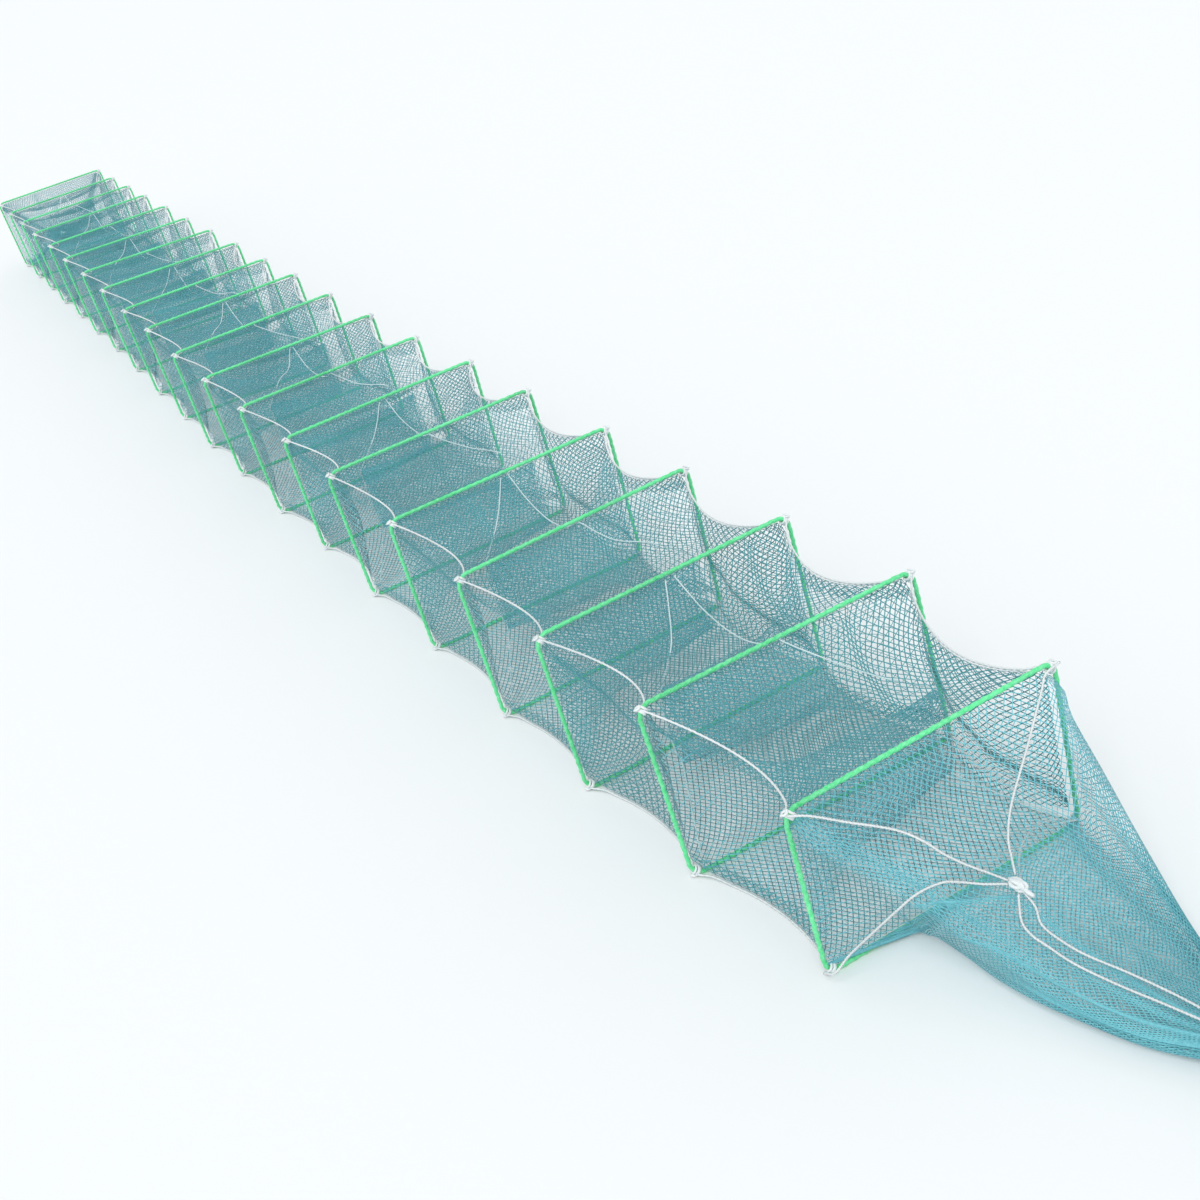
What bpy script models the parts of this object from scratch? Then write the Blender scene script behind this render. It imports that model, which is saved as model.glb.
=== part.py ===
"""Folding shrimp trap net: wire frames, a net sleeve with side inlets, corner ropes, gathered tails.

The chain of frames runs along Y, X is across it and Z is up. Metres throughout. The trap is drawn out
to its full length and lies on its bottom bars. Its origin is the middle of its footprint, on the floor.
"""
import math
from collections import namedtuple

import bmesh
import bpy
from mathutils import Vector

# ---- driving dimensions -------------------------------------------------------------------------
FRAME_WIDTH = 0.350      # between the centres of a frame's side wires
FRAME_HEIGHT = 0.220     # between the centres of its top and bottom wires
FRAME_CORNER = 0.016     # bend radius of the wire at a corner
WIRE_RADIUS = 0.0034     # wire with its tape winding
NET_WALL = 0.001
GAP = 0.0003             # kept between touching pieces
ROPE_RADIUS = 0.0015
KNOT_RADIUS = 0.0042
KNOT_HALF_LENGTH = 0.006
KNOT_LOW = 0.0145        # height of the bottom knots, which sit beside the side wires
BRIDLE_KNOT_RADIUS = 0.0085
WIRE_REST = WIRE_RADIUS * math.cos(math.radians(30))   # height of a bottom wire's centre, on its flat
FLOOR_PLAY = 0.0006      # room for a leaning frame, which stands on the edge of its wire
SIDE_JOIN = 10           # each side net is made in two lengths that meet at the frame with this index
JOIN_PLAY = 0.0004       # from the middle of that frame to each length's end
SEAM_HALF_GAP = 0.0009   # from a net strip's edge to the middle of the corner seam

ORIGIN_SHIFT = Vector((-0.0032, -2.2025, 0.0))   # from the frames' drawing to the middle of the footprint

# One row for each frame, from the near end: place along the chain and across it, turn about the
# upright and lean away from the near end in degrees, and size against the full frame.
Frame = namedtuple("Frame", "along across turn lean size")
FRAMES = [
    Frame(0.036, 0.065, -1.5, 3.5, 0.92),
    Frame(0.245, 0.054, -3.0, 7.0, 1.00),
    Frame(0.471, 0.039, -2.0, 4.0, 1.00),
    Frame(0.699, 0.030, -0.5, 1.0, 1.00),
    Frame(0.931, 0.026, -3.5, -0.5, 1.00),
    Frame(1.169, 0.017, -3.0, 2.0, 1.00),
    Frame(1.408, 0.013, -2.5, -3.5, 1.00),
    Frame(1.629, 0.000, -3.5, -2.0, 1.00),
    Frame(1.875, -0.005, -5.5, -5.5, 1.00),
    Frame(2.099, -0.012, -4.0, -4.0, 1.00),
    Frame(2.331, -0.014, -6.0, 0.0, 1.00),
    Frame(2.568, -0.018, -7.0, -3.5, 1.00),
    Frame(2.810, -0.020, -9.0, -0.5, 1.00),
    Frame(3.046, -0.024, -11.0, 0.0, 1.00),
    Frame(3.283, -0.031, -11.0, 0.0, 1.00),
    Frame(3.523, -0.033, -9.5, 1.5, 1.00),
    Frame(3.772, -0.039, -6.5, 2.5, 1.00),
    Frame(4.007, -0.041, -6.0, 2.5, 1.00),
    Frame(4.240, -0.045, -5.0, 1.0, 1.00),
    Frame(4.474, -0.048, -4.0, 0.0, 1.00),
]

# One row for each space between two frames: how far the corner ropes draw in, how far the top net
# hangs below them at its middle, and how far the side nets draw in halfway up.
Space = namedtuple("Space", "draw_in belly side_draw")
SPACES = [
    Space(0.034, 0.016, 0.030),
    Space(0.036, 0.020, 0.026),
    Space(0.030, 0.014, 0.032),
    Space(0.032, 0.018, 0.024),
    Space(0.028, 0.016, 0.028),
    Space(0.034, 0.013, 0.026),
    Space(0.030, 0.018, 0.030),
    Space(0.026, 0.015, 0.024),
    Space(0.032, 0.017, 0.028),
    Space(0.029, 0.014, 0.026),
]
TOP_SAG = 0.020          # drop of the top corner ropes at the middle of a space
STEPS = (0.0, 0.3, 0.7)  # where each space carries a row of net points

# Inlet funnels: how far across the trap the slit lies, its half height and half gap, and the waist.
SLIT_ACROSS = 0.55
SLIT_HALF_HEIGHT = 0.055
SLIT_HALF_GAP = 0.012
WAIST_PLACE = 0.55
WAIST_SCALE = 0.42
MOUTH_INSET = 0.0013
INLET_FAR_POINT = 4      # the rim's point halfway up beside the farther frame

# One row for each ring of a net tail: distance out from the end frame, its left and right edges,
# the heights of its top at the left and right, its underside, and how far it is gathered (0 to 1).
TailRing = namedtuple("TailRing", "out left right top_left top_right under gathered")
NEAR_TAIL = [
    TailRing(0.030, -0.070, 0.223, 0.172, 0.176, 0.0012, 0.0),
    TailRing(0.075, -0.030, 0.217, 0.128, 0.140, 0.0008, 0.0),
    TailRing(0.125, 0.002, 0.208, 0.084, 0.088, 0.0008, 0.0),
    TailRing(0.185, 0.018, 0.196, 0.056, 0.044, 0.0008, 0.1),
    TailRing(0.255, 0.036, 0.172, 0.046, 0.036, 0.0008, 0.3),
    TailRing(0.315, 0.075, 0.135, 0.040, 0.036, 0.0030, 0.8),
    TailRing(0.340, 0.090, 0.120, 0.040, 0.040, 0.0060, 1.0),
    TailRing(0.358, 0.090, 0.120, 0.040, 0.040, 0.0060, 1.0),
    TailRing(0.385, 0.070, 0.140, 0.040, 0.038, 0.0030, 0.7),
    TailRing(0.440, 0.040, 0.178, 0.036, 0.030, 0.0008, 0.3),
]
FAR_TAIL = [
    TailRing(0.050, -0.190, 0.095, 0.176, 0.170, 0.0012, 0.0),
    TailRing(0.130, -0.140, 0.055, 0.092, 0.086, 0.0008, 0.2),
    TailRing(0.215, -0.080, -0.014, 0.042, 0.040, 0.0030, 0.7),
    TailRing(0.248, -0.061, -0.031, 0.040, 0.040, 0.0060, 1.0),
    TailRing(0.266, -0.061, -0.031, 0.040, 0.040, 0.0060, 1.0),
    TailRing(0.335, -0.106, 0.012, 0.034, 0.030, 0.0008, 0.3),
]
NECK_RADIUS = 0.0155
NECK_PLEAT = 0.0022
TAIL_CORNER = 0.022
TIE_RADIUS = 0.0020
TIE_STEPS = 16

# Cord routes past the near frame, in the frames' drawing. Each runs from a corner, or from the knot
# where the four meet, and lies on the tail; the lower right one runs inside the tail.
BRIDLE_KNOT = Vector((0.054, -0.078, 0.1060))
ROUTE_TOP_LEFT = [(-0.080, 0.034, 0.203), (-0.054, 0.019, 0.189), (-0.018, -0.004, 0.171),
                  (0.000, -0.020, 0.156), (0.010, -0.034, 0.143), (0.022, -0.047, 0.131),
                  (0.037, -0.060, 0.119)]
ROUTE_TOP_RIGHT = [(0.206, 0.034, 0.204), (0.190, 0.024, 0.196), (0.141, -0.006, 0.173),
                   (0.095, -0.032, 0.149), (0.073, -0.049, 0.132), (0.064, -0.062, 0.119)]
ROUTE_BOTTOM_LEFT = [(-0.098, 0.020, 0.022), (-0.084, 0.010, 0.044), (-0.068, -0.006, 0.070),
                     (-0.048, -0.028, 0.104), (-0.030, -0.041, 0.124), (-0.006, -0.048, 0.127),
                     (0.010, -0.054, 0.121), (0.028, -0.064, 0.1135)]
ROUTE_BOTTOM_RIGHT = [(0.2160, 0.022, 0.0175), (0.202, 0.022, 0.024), (0.186, 0.020, 0.038),
                      (0.150, 0.006, 0.061), (0.116, -0.014, 0.075), (0.088, -0.040, 0.084),
                      (0.064, -0.070, 0.0935), (0.058, -0.0745, 0.0955)]
ROUTE_HAUL = [(0.037, -0.099, 0.0870), (0.036, -0.112, 0.0790), (0.041, -0.126, 0.0720),
              (0.050, -0.150, 0.0610), (0.066, -0.185, 0.0510), (0.082, -0.225, 0.0465),
              (0.094, -0.265, 0.0450), (0.101, -0.3105, 0.0447)]
ROUTE_HAUL_SPARE = [(0.055, -0.098, 0.0910), (0.050, -0.110, 0.0810), (0.054, -0.126, 0.0720),
                    (0.064, -0.148, 0.0615), (0.082, -0.180, 0.0510), (0.096, -0.225, 0.0465),
                    (0.103, -0.265, 0.0450), (0.109, -0.3105, 0.0447)]


# ---- helpers --------------------------------------------------------------------------------------
def clear_scene():
    for thing in list(bpy.data.objects):
        bpy.data.objects.remove(thing, do_unlink=True)


def make_collection(name):
    collection = bpy.data.collections.new(name)
    bpy.context.scene.collection.children.link(collection)
    return collection


def make_material(name, colour, roughness):
    material = bpy.data.materials.new(name)
    material.use_nodes = True
    shader = material.node_tree.nodes["Principled BSDF"]
    shader.inputs["Base Color"].default_value = (*colour, 1.0)
    shader.inputs["Roughness"].default_value = roughness
    shader.inputs["Metallic"].default_value = 0.0
    return material


def add_tube(name, points, radius, material, collection, sides=6, closed=False, swell=None):
    """A tube along points; swell gives each point's radius as a share of the tube's."""
    curve = bpy.data.curves.new(name, "CURVE")
    curve.dimensions = "3D"
    curve.bevel_depth = radius
    curve.bevel_resolution = (sides - 4) // 2
    curve.use_fill_caps = not closed
    curve.render_resolution_u = 0
    spline = curve.splines.new("POLY")
    spline.points.add(len(points) - 1)
    for index, point in enumerate(points):
        spline.points[index].co = (*(Vector(point) + ORIGIN_SHIFT), 1.0)
        spline.points[index].radius = swell[index] if swell else 1.0
    spline.use_cyclic_u = closed
    tube = bpy.data.objects.new(name, curve)
    tube.data.materials.append(material)
    collection.objects.link(tube)
    return tube


def add_sheet(name, rows, material, collection, skip=(), closed=False, wall=NET_WALL):
    """A thin wall on a grid of points, given as rows; skip names grid cells that are left open."""
    mesh = bmesh.new()
    grid = [[mesh.verts.new(Vector(point) + ORIGIN_SHIFT) for point in row] for row in rows]
    columns = len(rows[0])
    for r in range(len(rows) - 1):
        for c in range(columns if closed else columns - 1):
            if (r, c) in skip:
                continue
            n = (c + 1) % columns
            mesh.faces.new((grid[r][c], grid[r][n], grid[r + 1][n], grid[r + 1][c]))
    loose = [vert for vert in mesh.verts if not vert.link_faces]
    bmesh.ops.delete(mesh, geom=loose, context="VERTS")
    bmesh.ops.recalc_face_normals(mesh, faces=mesh.faces)
    data = bpy.data.meshes.new(name)
    mesh.to_mesh(data)
    mesh.free()
    data.materials.append(material)
    sheet = bpy.data.objects.new(name, data)
    collection.objects.link(sheet)
    solid = sheet.modifiers.new("Wall", "SOLIDIFY")
    solid.thickness = wall
    solid.offset = 0.0
    solid.use_even_offset = True
    return sheet


def stand_on_floor(tube):
    """Lift a leaning ring until its lowest edge is on the floor."""
    bpy.context.view_layer.update()
    shape = tube.evaluated_get(bpy.context.evaluated_depsgraph_get()).to_mesh()
    tube.location.z = -min(vert.co.z for vert in shape.vertices)


def smooth_route(points, spacing):
    """Points at about the given spacing on a smooth curve through the route's own points."""
    points = [Vector(point) for point in points]
    ends = [2 * points[0] - points[1]] + points + [2 * points[-1] - points[-2]]
    route = []
    for before, start, stop, after in zip(ends, ends[1:], ends[2:], ends[3:]):
        count = max(1, round((stop - start).length / spacing))
        for step in range(count):
            t = step / count
            route.append(0.5 * (2 * start + (stop - before) * t
                                + (2 * before - 5 * start + 4 * stop - after) * t ** 2
                                + (3 * start - before - 3 * stop + after) * t ** 3))
    route.append(points[-1])
    return route


# ---- the chain of frames --------------------------------------------------------------------------
class Station:
    """A place on the chain: its foot on the centre line, and the directions across, up and along."""

    def __init__(self, foot, across, up, size):
        self.foot = foot
        self.across = across
        self.up = up
        self.size = size

    def point(self, u, v, out=0.0):
        """u across from the centre line, v up from the floor, out along the chain."""
        return self.foot + self.across * u + self.up * v + self.across.cross(self.up) * -out


def frame_station(frame):
    turn = math.radians(frame.turn)
    lean = math.radians(frame.lean)
    across = Vector((math.cos(turn), math.sin(turn), 0.0))
    along = Vector((-math.sin(turn), math.cos(turn), 0.0))
    up = along * math.sin(lean) + Vector((0.0, 0.0, math.cos(lean)))
    return Station(Vector((frame.across, frame.along, 0.0)), across, up, frame.size)


def station_between(index, t):
    near = frame_station(FRAMES[index])
    if t == 0.0:
        return near
    far = frame_station(FRAMES[index + 1])
    return Station(near.foot.lerp(far.foot, t), near.across.lerp(far.across, t).normalized(),
                   near.up.lerp(far.up, t).normalized(), near.size + (far.size - near.size) * t)


def sleeve_steps():
    """(space, t) for every row of net points from the near frame to the far one."""
    steps = [(space, t) for space in range(len(FRAMES) - 1) for t in STEPS]
    return steps + [(len(FRAMES) - 1, 0.0)]


def outline_at(space, t):
    """The sleeve's section at a row of net points: its half widths and its top and bottom levels."""
    station = station_between(space, t)
    shape = SPACES[space % len(SPACES)]
    hang = 4.0 * t * (1.0 - t)
    inside = WIRE_RADIUS + GAP + NET_WALL / 2
    half_top = (FRAME_WIDTH / 2 * station.size) - inside - shape.draw_in * hang
    half_bottom = (FRAME_WIDTH / 2 * station.size) - inside - 0.6 * shape.draw_in * hang
    top = WIRE_REST + FRAME_HEIGHT * station.size - inside - TOP_SAG * hang
    floor = NET_WALL / 2 + GAP / 2
    on_wire = WIRE_REST + inside + FLOOR_PLAY
    bottom = on_wire + (floor - on_wire) * min(1.0, 1.6 * hang)
    return station, shape, hang, half_top, half_bottom, top, bottom


def corner_arc(side, half, level, upper, degrees):
    """A point on the net's rounded corner; 0 degrees is at the side, 90 at the top or bottom."""
    radius = FRAME_CORNER - WIRE_RADIUS
    angle = math.radians(degrees)
    u = side * (half - radius + radius * math.cos(angle))
    rise = -radius + radius * math.sin(angle)
    return (u, level + rise if upper else level - rise)


def seam_degrees():
    return math.degrees(SEAM_HALF_GAP / (FRAME_CORNER - WIRE_RADIUS))


def top_row(space, t):
    station, shape, hang, half_top, _, top, _ = outline_at(space, t)
    seam = 45 + seam_degrees()
    belly = shape.belly * hang
    flat = half_top - FRAME_CORNER + WIRE_RADIUS
    row = [corner_arc(-1, half_top, top, True, seam), corner_arc(-1, half_top, top, True, 90)]
    row += [(-flat * 0.4, top - belly), (flat * 0.4, top - belly)]
    row += [corner_arc(1, half_top, top, True, 90), corner_arc(1, half_top, top, True, seam)]
    return [station.point(u, v) for u, v in row]


def bottom_row(space, t):
    station, _, _, _, half_bottom, _, bottom = outline_at(space, t)
    seam = 45 + seam_degrees()
    row = [corner_arc(-1, half_bottom, bottom, False, seam), corner_arc(-1, half_bottom, bottom, False, 90)]
    row += [corner_arc(1, half_bottom, bottom, False, 90), corner_arc(1, half_bottom, bottom, False, seam)]
    return [station.point(u, v) for u, v in row]


def side_row(side, space, t, out=0.0):
    station, shape, hang, half_top, half_bottom, top, bottom = outline_at(space, t)
    seam = 45 - seam_degrees()
    middle = (half_top + half_bottom) / 2 - shape.side_draw * hang * 0.5
    row = [corner_arc(side, half_bottom, bottom, False, seam), corner_arc(side, half_bottom, bottom, False, 0)]
    row += [(side * middle, (top + bottom) / 2)]
    row += [corner_arc(side, half_top, top, True, 0), corner_arc(side, half_top, top, True, seam)]
    return [station.point(u, v, out) for u, v in row]


def inlet_side(space):
    """Inlets come in at the left and at the right by turns."""
    return -1 if space % 2 == 0 else 1


# ---- the pieces -----------------------------------------------------------------------------------
def build_frames(material, collection):
    arc_steps = (0, 45, 90)
    for number, frame in enumerate(FRAMES, start=1):
        station = frame_station(frame)
        half = FRAME_WIDTH / 2 * frame.size
        height = FRAME_HEIGHT * frame.size
        centres = [(half, height, 0), (-half, height, 90), (-half, 0.0, 180), (half, 0.0, 270)]
        points = []
        for u, v, start in centres:
            u -= math.copysign(FRAME_CORNER, u)
            v += FRAME_CORNER if v == 0.0 else -FRAME_CORNER
            for degrees in arc_steps:
                angle = math.radians(start + degrees)
                points.append(station.point(u + FRAME_CORNER * math.cos(angle),
                                            WIRE_REST + v + FRAME_CORNER * math.sin(angle)))
        ring = add_tube(f"frame_{number:02d}", points, WIRE_RADIUS, material, collection, closed=True)
        stand_on_floor(ring)


def build_sleeve(material, collection):
    steps = sleeve_steps()
    add_sheet("net_top", [top_row(*step) for step in steps], material, collection)
    add_sheet("net_bottom", [bottom_row(*step) for step in steps], material, collection)
    for name, side in (("net_left", -1), ("net_right", 1)):
        for part, first, last in (("near", 0, SIDE_JOIN), ("far", SIDE_JOIN, len(FRAMES) - 1)):
            mouths = set()
            for space in range(first, last):
                if inlet_side(space) == side:
                    for step in range(len(STEPS)):
                        mouths |= {((space - first) * len(STEPS) + step, 1),
                                   ((space - first) * len(STEPS) + step, 2)}
            rows = [side_row(side, *step) for step in steps if first <= step[0] < last]
            rows.append(side_row(side, last, 0.0, -JOIN_PLAY if part == "near" else 0.0))
            if part == "far":
                rows[0] = side_row(side, first, 0.0, JOIN_PLAY)
            add_sheet(f"{name}_{part}", rows, material, collection, skip=mouths)


def mouth_loop(space, side):
    """The rim of an inlet's opening, moved in a little from the net round it."""
    rows = [side_row(side, space, t) for t in STEPS] + [side_row(side, space + 1, 0.0)]
    low = [row[1] for row in rows]
    high = [row[3] for row in rows]
    rim = low + [rows[-1][2]] + high[::-1] + [rows[0][2]]
    centre = sum(rim, Vector()) / len(rim)
    loop = []
    for index, point in enumerate(rim):
        along = (rows[-1][2] - rows[0][2]).normalized()
        inset = Vector()
        if index in (0, 9, 8):
            inset += along * MOUTH_INSET
        if index in (3, 4, 5):
            inset -= along * MOUTH_INSET
        if index in (0, 1, 2, 3):
            inset += Vector((0, 0, MOUTH_INSET))
        if index in (5, 6, 7, 8):
            inset -= Vector((0, 0, MOUTH_INSET))
        loop.append(point + inset)
    return loop, centre


def build_inlets(material, collection):
    for space in range(len(FRAMES) - 1):
        side = inlet_side(space)
        loop, centre = mouth_loop(space, side)
        station = station_between(space, 0.5)
        slit_centre = station.point(-side * SLIT_ACROSS * FRAME_WIDTH / 2, centre.z)
        along = (loop[3] - loop[0]).normalized()
        slit = []
        for index in range(len(loop)):
            angle = 2 * math.pi * (index - INLET_FAR_POINT) / len(loop)
            slit.append(slit_centre + along * SLIT_HALF_GAP * math.cos(angle)
                        + Vector((0, 0, SLIT_HALF_HEIGHT * math.sin(angle))))
        waist_centre = centre.lerp(slit_centre, WAIST_PLACE)
        waist = [waist_centre + (point - centre) * WAIST_SCALE for point in loop]
        add_sheet(f"inlet_{space + 1:02d}", [loop, waist, slit], material, collection, closed=True)


def rope_points(side, upper):
    """A corner rope outside the net, with a knot at every frame; also each point's swelling."""
    points = []
    swell = []
    knot = KNOT_RADIUS / ROPE_RADIUS
    clear = WIRE_RADIUS + KNOT_RADIUS + GAP
    beside = NET_WALL / 2 + ROPE_RADIUS + 0.0006
    slant = math.sqrt(0.5)
    for space, t in sleeve_steps():
        station, _, _, half_top, half_bottom, top, bottom = outline_at(space, t)
        half = half_top if upper else half_bottom
        level = top if upper else bottom
        if t == 0.0:
            corner = FRAME_WIDTH / 2 * station.size
            if upper:
                height = FRAME_HEIGHT * station.size + WIRE_REST
                inner = FRAME_CORNER * (1 - slant)
                u = side * (corner - inner + clear * slant)
                v = height - inner + clear * slant
            else:
                u = side * (corner + WIRE_RADIUS + KNOT_RADIUS * slant + GAP)
                v = KNOT_LOW
            for out, size in ((-KNOT_HALF_LENGTH, 1.0), (0.0, knot), (KNOT_HALF_LENGTH, 1.0)):
                points.append(station.point(u, v, out))
                swell.append(size)
        else:
            u, v = corner_arc(side, half, level, upper, 45)
            rise = beside * slant if upper else -beside * slant
            points.append(station.point(u + side * beside * slant, v + rise))
            swell.append(1.0)
    return points, swell


def build_ropes(material, collection):
    for name, side, upper in (("rope_top_left", -1, True), ("rope_top_right", 1, True),
                              ("rope_bottom_left", -1, False), ("rope_bottom_right", 1, False)):
        points, swell = rope_points(side, upper)
        add_tube(name, points, ROPE_RADIUS, material, collection, sides=4, swell=swell)


def tail_loop(ring, along):
    """A tail's section: a rounded box that leans, drawn towards a pleated neck as it is gathered."""
    sides = [(1, 1, 0), (-1, 1, 90), (-1, -1, 180), (1, -1, 270)]
    centre_x = (ring.left + ring.right) / 2
    box = []
    heights = {-1: ring.top_left, 1: ring.top_right}
    for sx, sz, start in sides:
        edge = ring.right if sx > 0 else ring.left
        top = heights[sx]
        radius = min(TAIL_CORNER, (top - ring.under) / 2.2, (ring.right - ring.left) / 2.2)
        level = top - radius if sz > 0 else ring.under + radius
        for degrees in (0, 45, 90):
            angle = math.radians(start + degrees)
            box.append((edge - sx * radius + radius * math.cos(angle), level + radius * math.sin(angle)))
    loop = []
    for index in range(4):
        corner = box[index * 3: index * 3 + 3]
        after = box[(index * 3 + 3) % 12]
        spread = 3 if index in (0, 2) else 1
        loop += corner
        for step in range(1, spread + 1):
            t = step / (spread + 1)
            loop.append((corner[2][0] + (after[0] - corner[2][0]) * t,
                         corner[2][1] + (after[1] - corner[2][1]) * t))
    points = []
    for index, (x, z) in enumerate(loop):
        angle = 2 * math.pi * (index - 0.5) / len(loop)
        pleat = NECK_RADIUS + (NECK_PLEAT if index % 2 else -NECK_PLEAT)
        neck_x = centre_x + pleat * math.cos(angle)
        neck_z = ring.under + NECK_RADIUS + NECK_PLEAT + pleat * math.sin(angle)
        blend = ring.gathered
        points.append(Vector((x + (neck_x - x) * blend, along, z + (neck_z - z) * blend)))
    return points


def end_loop(frame, out):
    """The tail's first ring, inside the end frame."""
    station = frame_station(frame)
    inside = WIRE_RADIUS + GAP + NET_WALL / 2
    half = FRAME_WIDTH / 2 * frame.size - inside
    top = WIRE_REST + FRAME_HEIGHT * frame.size - inside
    ring = TailRing(0.0, -half, half, top, top,
                    inside + WIRE_REST + FLOOR_PLAY, 0.0)
    return [station.point(point.x, point.z, out) for point in tail_loop(ring, 0.0)]


def build_tail(name, frame, rings, direction, material, collection):
    """direction is -1 out of the near end and +1 out of the far end."""
    rows = [end_loop(frame, direction * (NET_WALL + GAP))]
    for ring in rings:
        rows.append(tail_loop(ring, frame.along + direction * ring.out))
    return add_sheet(name, rows, material, collection, closed=True)


def build_tie(name, frame, rings, direction, material, collection):
    necks = [ring for ring in rings if ring.gathered == 1.0]
    ring = necks[0]
    centre_x = (ring.left + ring.right) / 2
    along = frame.along + direction * (necks[0].out + necks[1].out) / 2
    centre_z = ring.under + NECK_RADIUS + NECK_PLEAT
    radius = (NECK_RADIUS + NECK_PLEAT + NET_WALL + GAP) / math.cos(math.pi / TIE_STEPS) + TIE_RADIUS
    points = []
    for step in range(TIE_STEPS):
        angle = 2 * math.pi * (step + 0.5) / TIE_STEPS
        points.append(Vector((centre_x + radius * math.cos(angle), along, centre_z + radius * math.sin(angle))))
    return add_tube(name, points, TIE_RADIUS, material, collection, closed=True)


def beside_knot(point):
    """Where a cord that comes from the given point meets the knot."""
    return BRIDLE_KNOT + (Vector(point) - BRIDLE_KNOT).normalized() * (BRIDLE_KNOT_RADIUS + GAP)


def add_cord(name, route, material, collection):
    points = smooth_route(route, 6 * ROPE_RADIUS)
    return add_tube(name, points, ROPE_RADIUS, material, collection, sides=8)


def build_bridle(material, collection):
    knot = bmesh.new()
    bmesh.ops.create_icosphere(knot, subdivisions=1, radius=BRIDLE_KNOT_RADIUS)
    for vert in knot.verts:
        vert.co.z *= 0.75
        vert.co += BRIDLE_KNOT + ORIGIN_SHIFT
    data = bpy.data.meshes.new("bridle_knot")
    knot.to_mesh(data)
    knot.free()
    data.materials.append(material)
    collection.objects.link(bpy.data.objects.new("bridle_knot", data))
    for name, route, corner in (("bridle_top_left", ROUTE_TOP_LEFT, (-1, True)),
                                ("bridle_top_right", ROUTE_TOP_RIGHT, (1, True)),
                                ("bridle_bottom_left", ROUTE_BOTTOM_LEFT, (-1, False))):
        start = rope_points(*corner)[0][0] - Vector((0.0, ROPE_RADIUS + GAP, 0.0))
        add_cord(name, [start] + route + [beside_knot(route[-1])], material, collection)
    add_cord("bridle_bottom_right", ROUTE_BOTTOM_RIGHT, material, collection)
    for name, route in (("haul_cord", ROUTE_HAUL), ("haul_cord_spare", ROUTE_HAUL_SPARE)):
        add_cord(name, [beside_knot(route[0])] + route, material, collection)


def main():
    clear_scene()
    parts = make_collection("folding_shrimp_trap")
    green = make_material("wrapped_wire", (0.10, 0.62, 0.22), 0.45)
    net = make_material("net", (0.10, 0.42, 0.45), 0.6)
    white = make_material("rope", (0.80, 0.84, 0.84), 0.7)
    build_frames(green, parts)
    build_sleeve(net, parts)
    build_inlets(net, parts)
    build_ropes(white, parts)
    build_tail("tail_near", FRAMES[0], NEAR_TAIL, -1, net, parts)
    build_tail("tail_far", FRAMES[-1], FAR_TAIL, 1, net, parts)
    build_tie("tie_near", FRAMES[0], NEAR_TAIL, -1, white, parts)
    build_tie("tie_far", FRAMES[-1], FAR_TAIL, 1, white, parts)
    build_bridle(white, parts)


main()
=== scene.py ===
# %% [markdown]
# # A folding shrimp trap net
#
# The trap is a long net sleeve held open by a row of wire frames. Each frame is a rectangle of steel
# wire wound with green tape. Between two frames a net funnel leads in from one side, by turns the left
# and the right. White ropes run along the four corners and are knotted to every frame. The two ends
# are loose net tails, gathered and tied.
#
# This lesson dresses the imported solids. It starts with the finishes and the free cords, goes on with
# the wire, the netting, the ropes and the knots, and ends with the floor and the light.

import math
from collections import namedtuple

import bpy
import numpy as np
from mathutils import Matrix, Vector


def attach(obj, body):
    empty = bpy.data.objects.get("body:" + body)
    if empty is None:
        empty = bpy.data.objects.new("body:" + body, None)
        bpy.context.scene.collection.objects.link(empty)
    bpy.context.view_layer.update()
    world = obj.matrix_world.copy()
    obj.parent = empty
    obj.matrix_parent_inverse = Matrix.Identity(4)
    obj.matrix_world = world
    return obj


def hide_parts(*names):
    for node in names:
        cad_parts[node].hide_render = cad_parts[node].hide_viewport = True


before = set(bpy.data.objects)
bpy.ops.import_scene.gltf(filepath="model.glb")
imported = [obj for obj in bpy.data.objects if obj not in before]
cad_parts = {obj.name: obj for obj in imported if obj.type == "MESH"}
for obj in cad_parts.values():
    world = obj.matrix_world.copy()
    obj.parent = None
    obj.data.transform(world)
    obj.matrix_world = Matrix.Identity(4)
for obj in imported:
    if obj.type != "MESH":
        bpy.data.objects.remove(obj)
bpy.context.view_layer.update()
print("solids:", len(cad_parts))

# %% [markdown]
# ## Handing a piece over
#
# Every finished piece rides on a body and, where it stands for one of the solids, that solid is
# hidden. The trap is a single body, so one helper does it for all of them.
# A second helper puts new mesh or curve data into the scene as an object at the origin, unturned.

# %% Two helpers for every piece
def dress(thing, node=None):
    """The piece rides on the one body and, given a node, hides that solid in its place."""
    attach(thing, "root")
    if node:
        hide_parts(node)


def add_object(name, data):
    """A new object at the origin that holds the data."""
    thing = bpy.data.objects.new(name, data)
    bpy.context.scene.collection.objects.link(thing)
    return thing


# %% [markdown]
# ## The camera
#
# The camera stands beside the near end, about a metre up, and looks down along the chain. Its place,
# the way it looks and its up direction are three plain vectors. The matrix of an object in Blender
# holds its own X, Y and Z directions as columns, and a camera looks along its own minus Z. Places are
# written as in the drawing of the chain, whose own zero is under the near end, and one shift takes
# them all to the part's origin in the middle of its footprint.

# %% Camera
SHIFT = np.array((-0.0032, -2.2025, 0.0))
CAMERA_PLACE = Vector((-0.55745, -0.88249, 1.08176)) + Vector(SHIFT)
CAMERA_LOOK = Vector((0.3018031, 0.80987885, -0.50300212))
CAMERA_UP = Vector((0.43405443, 0.35302511, 0.82883655))
CAMERA_LENS = 43.58


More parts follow.
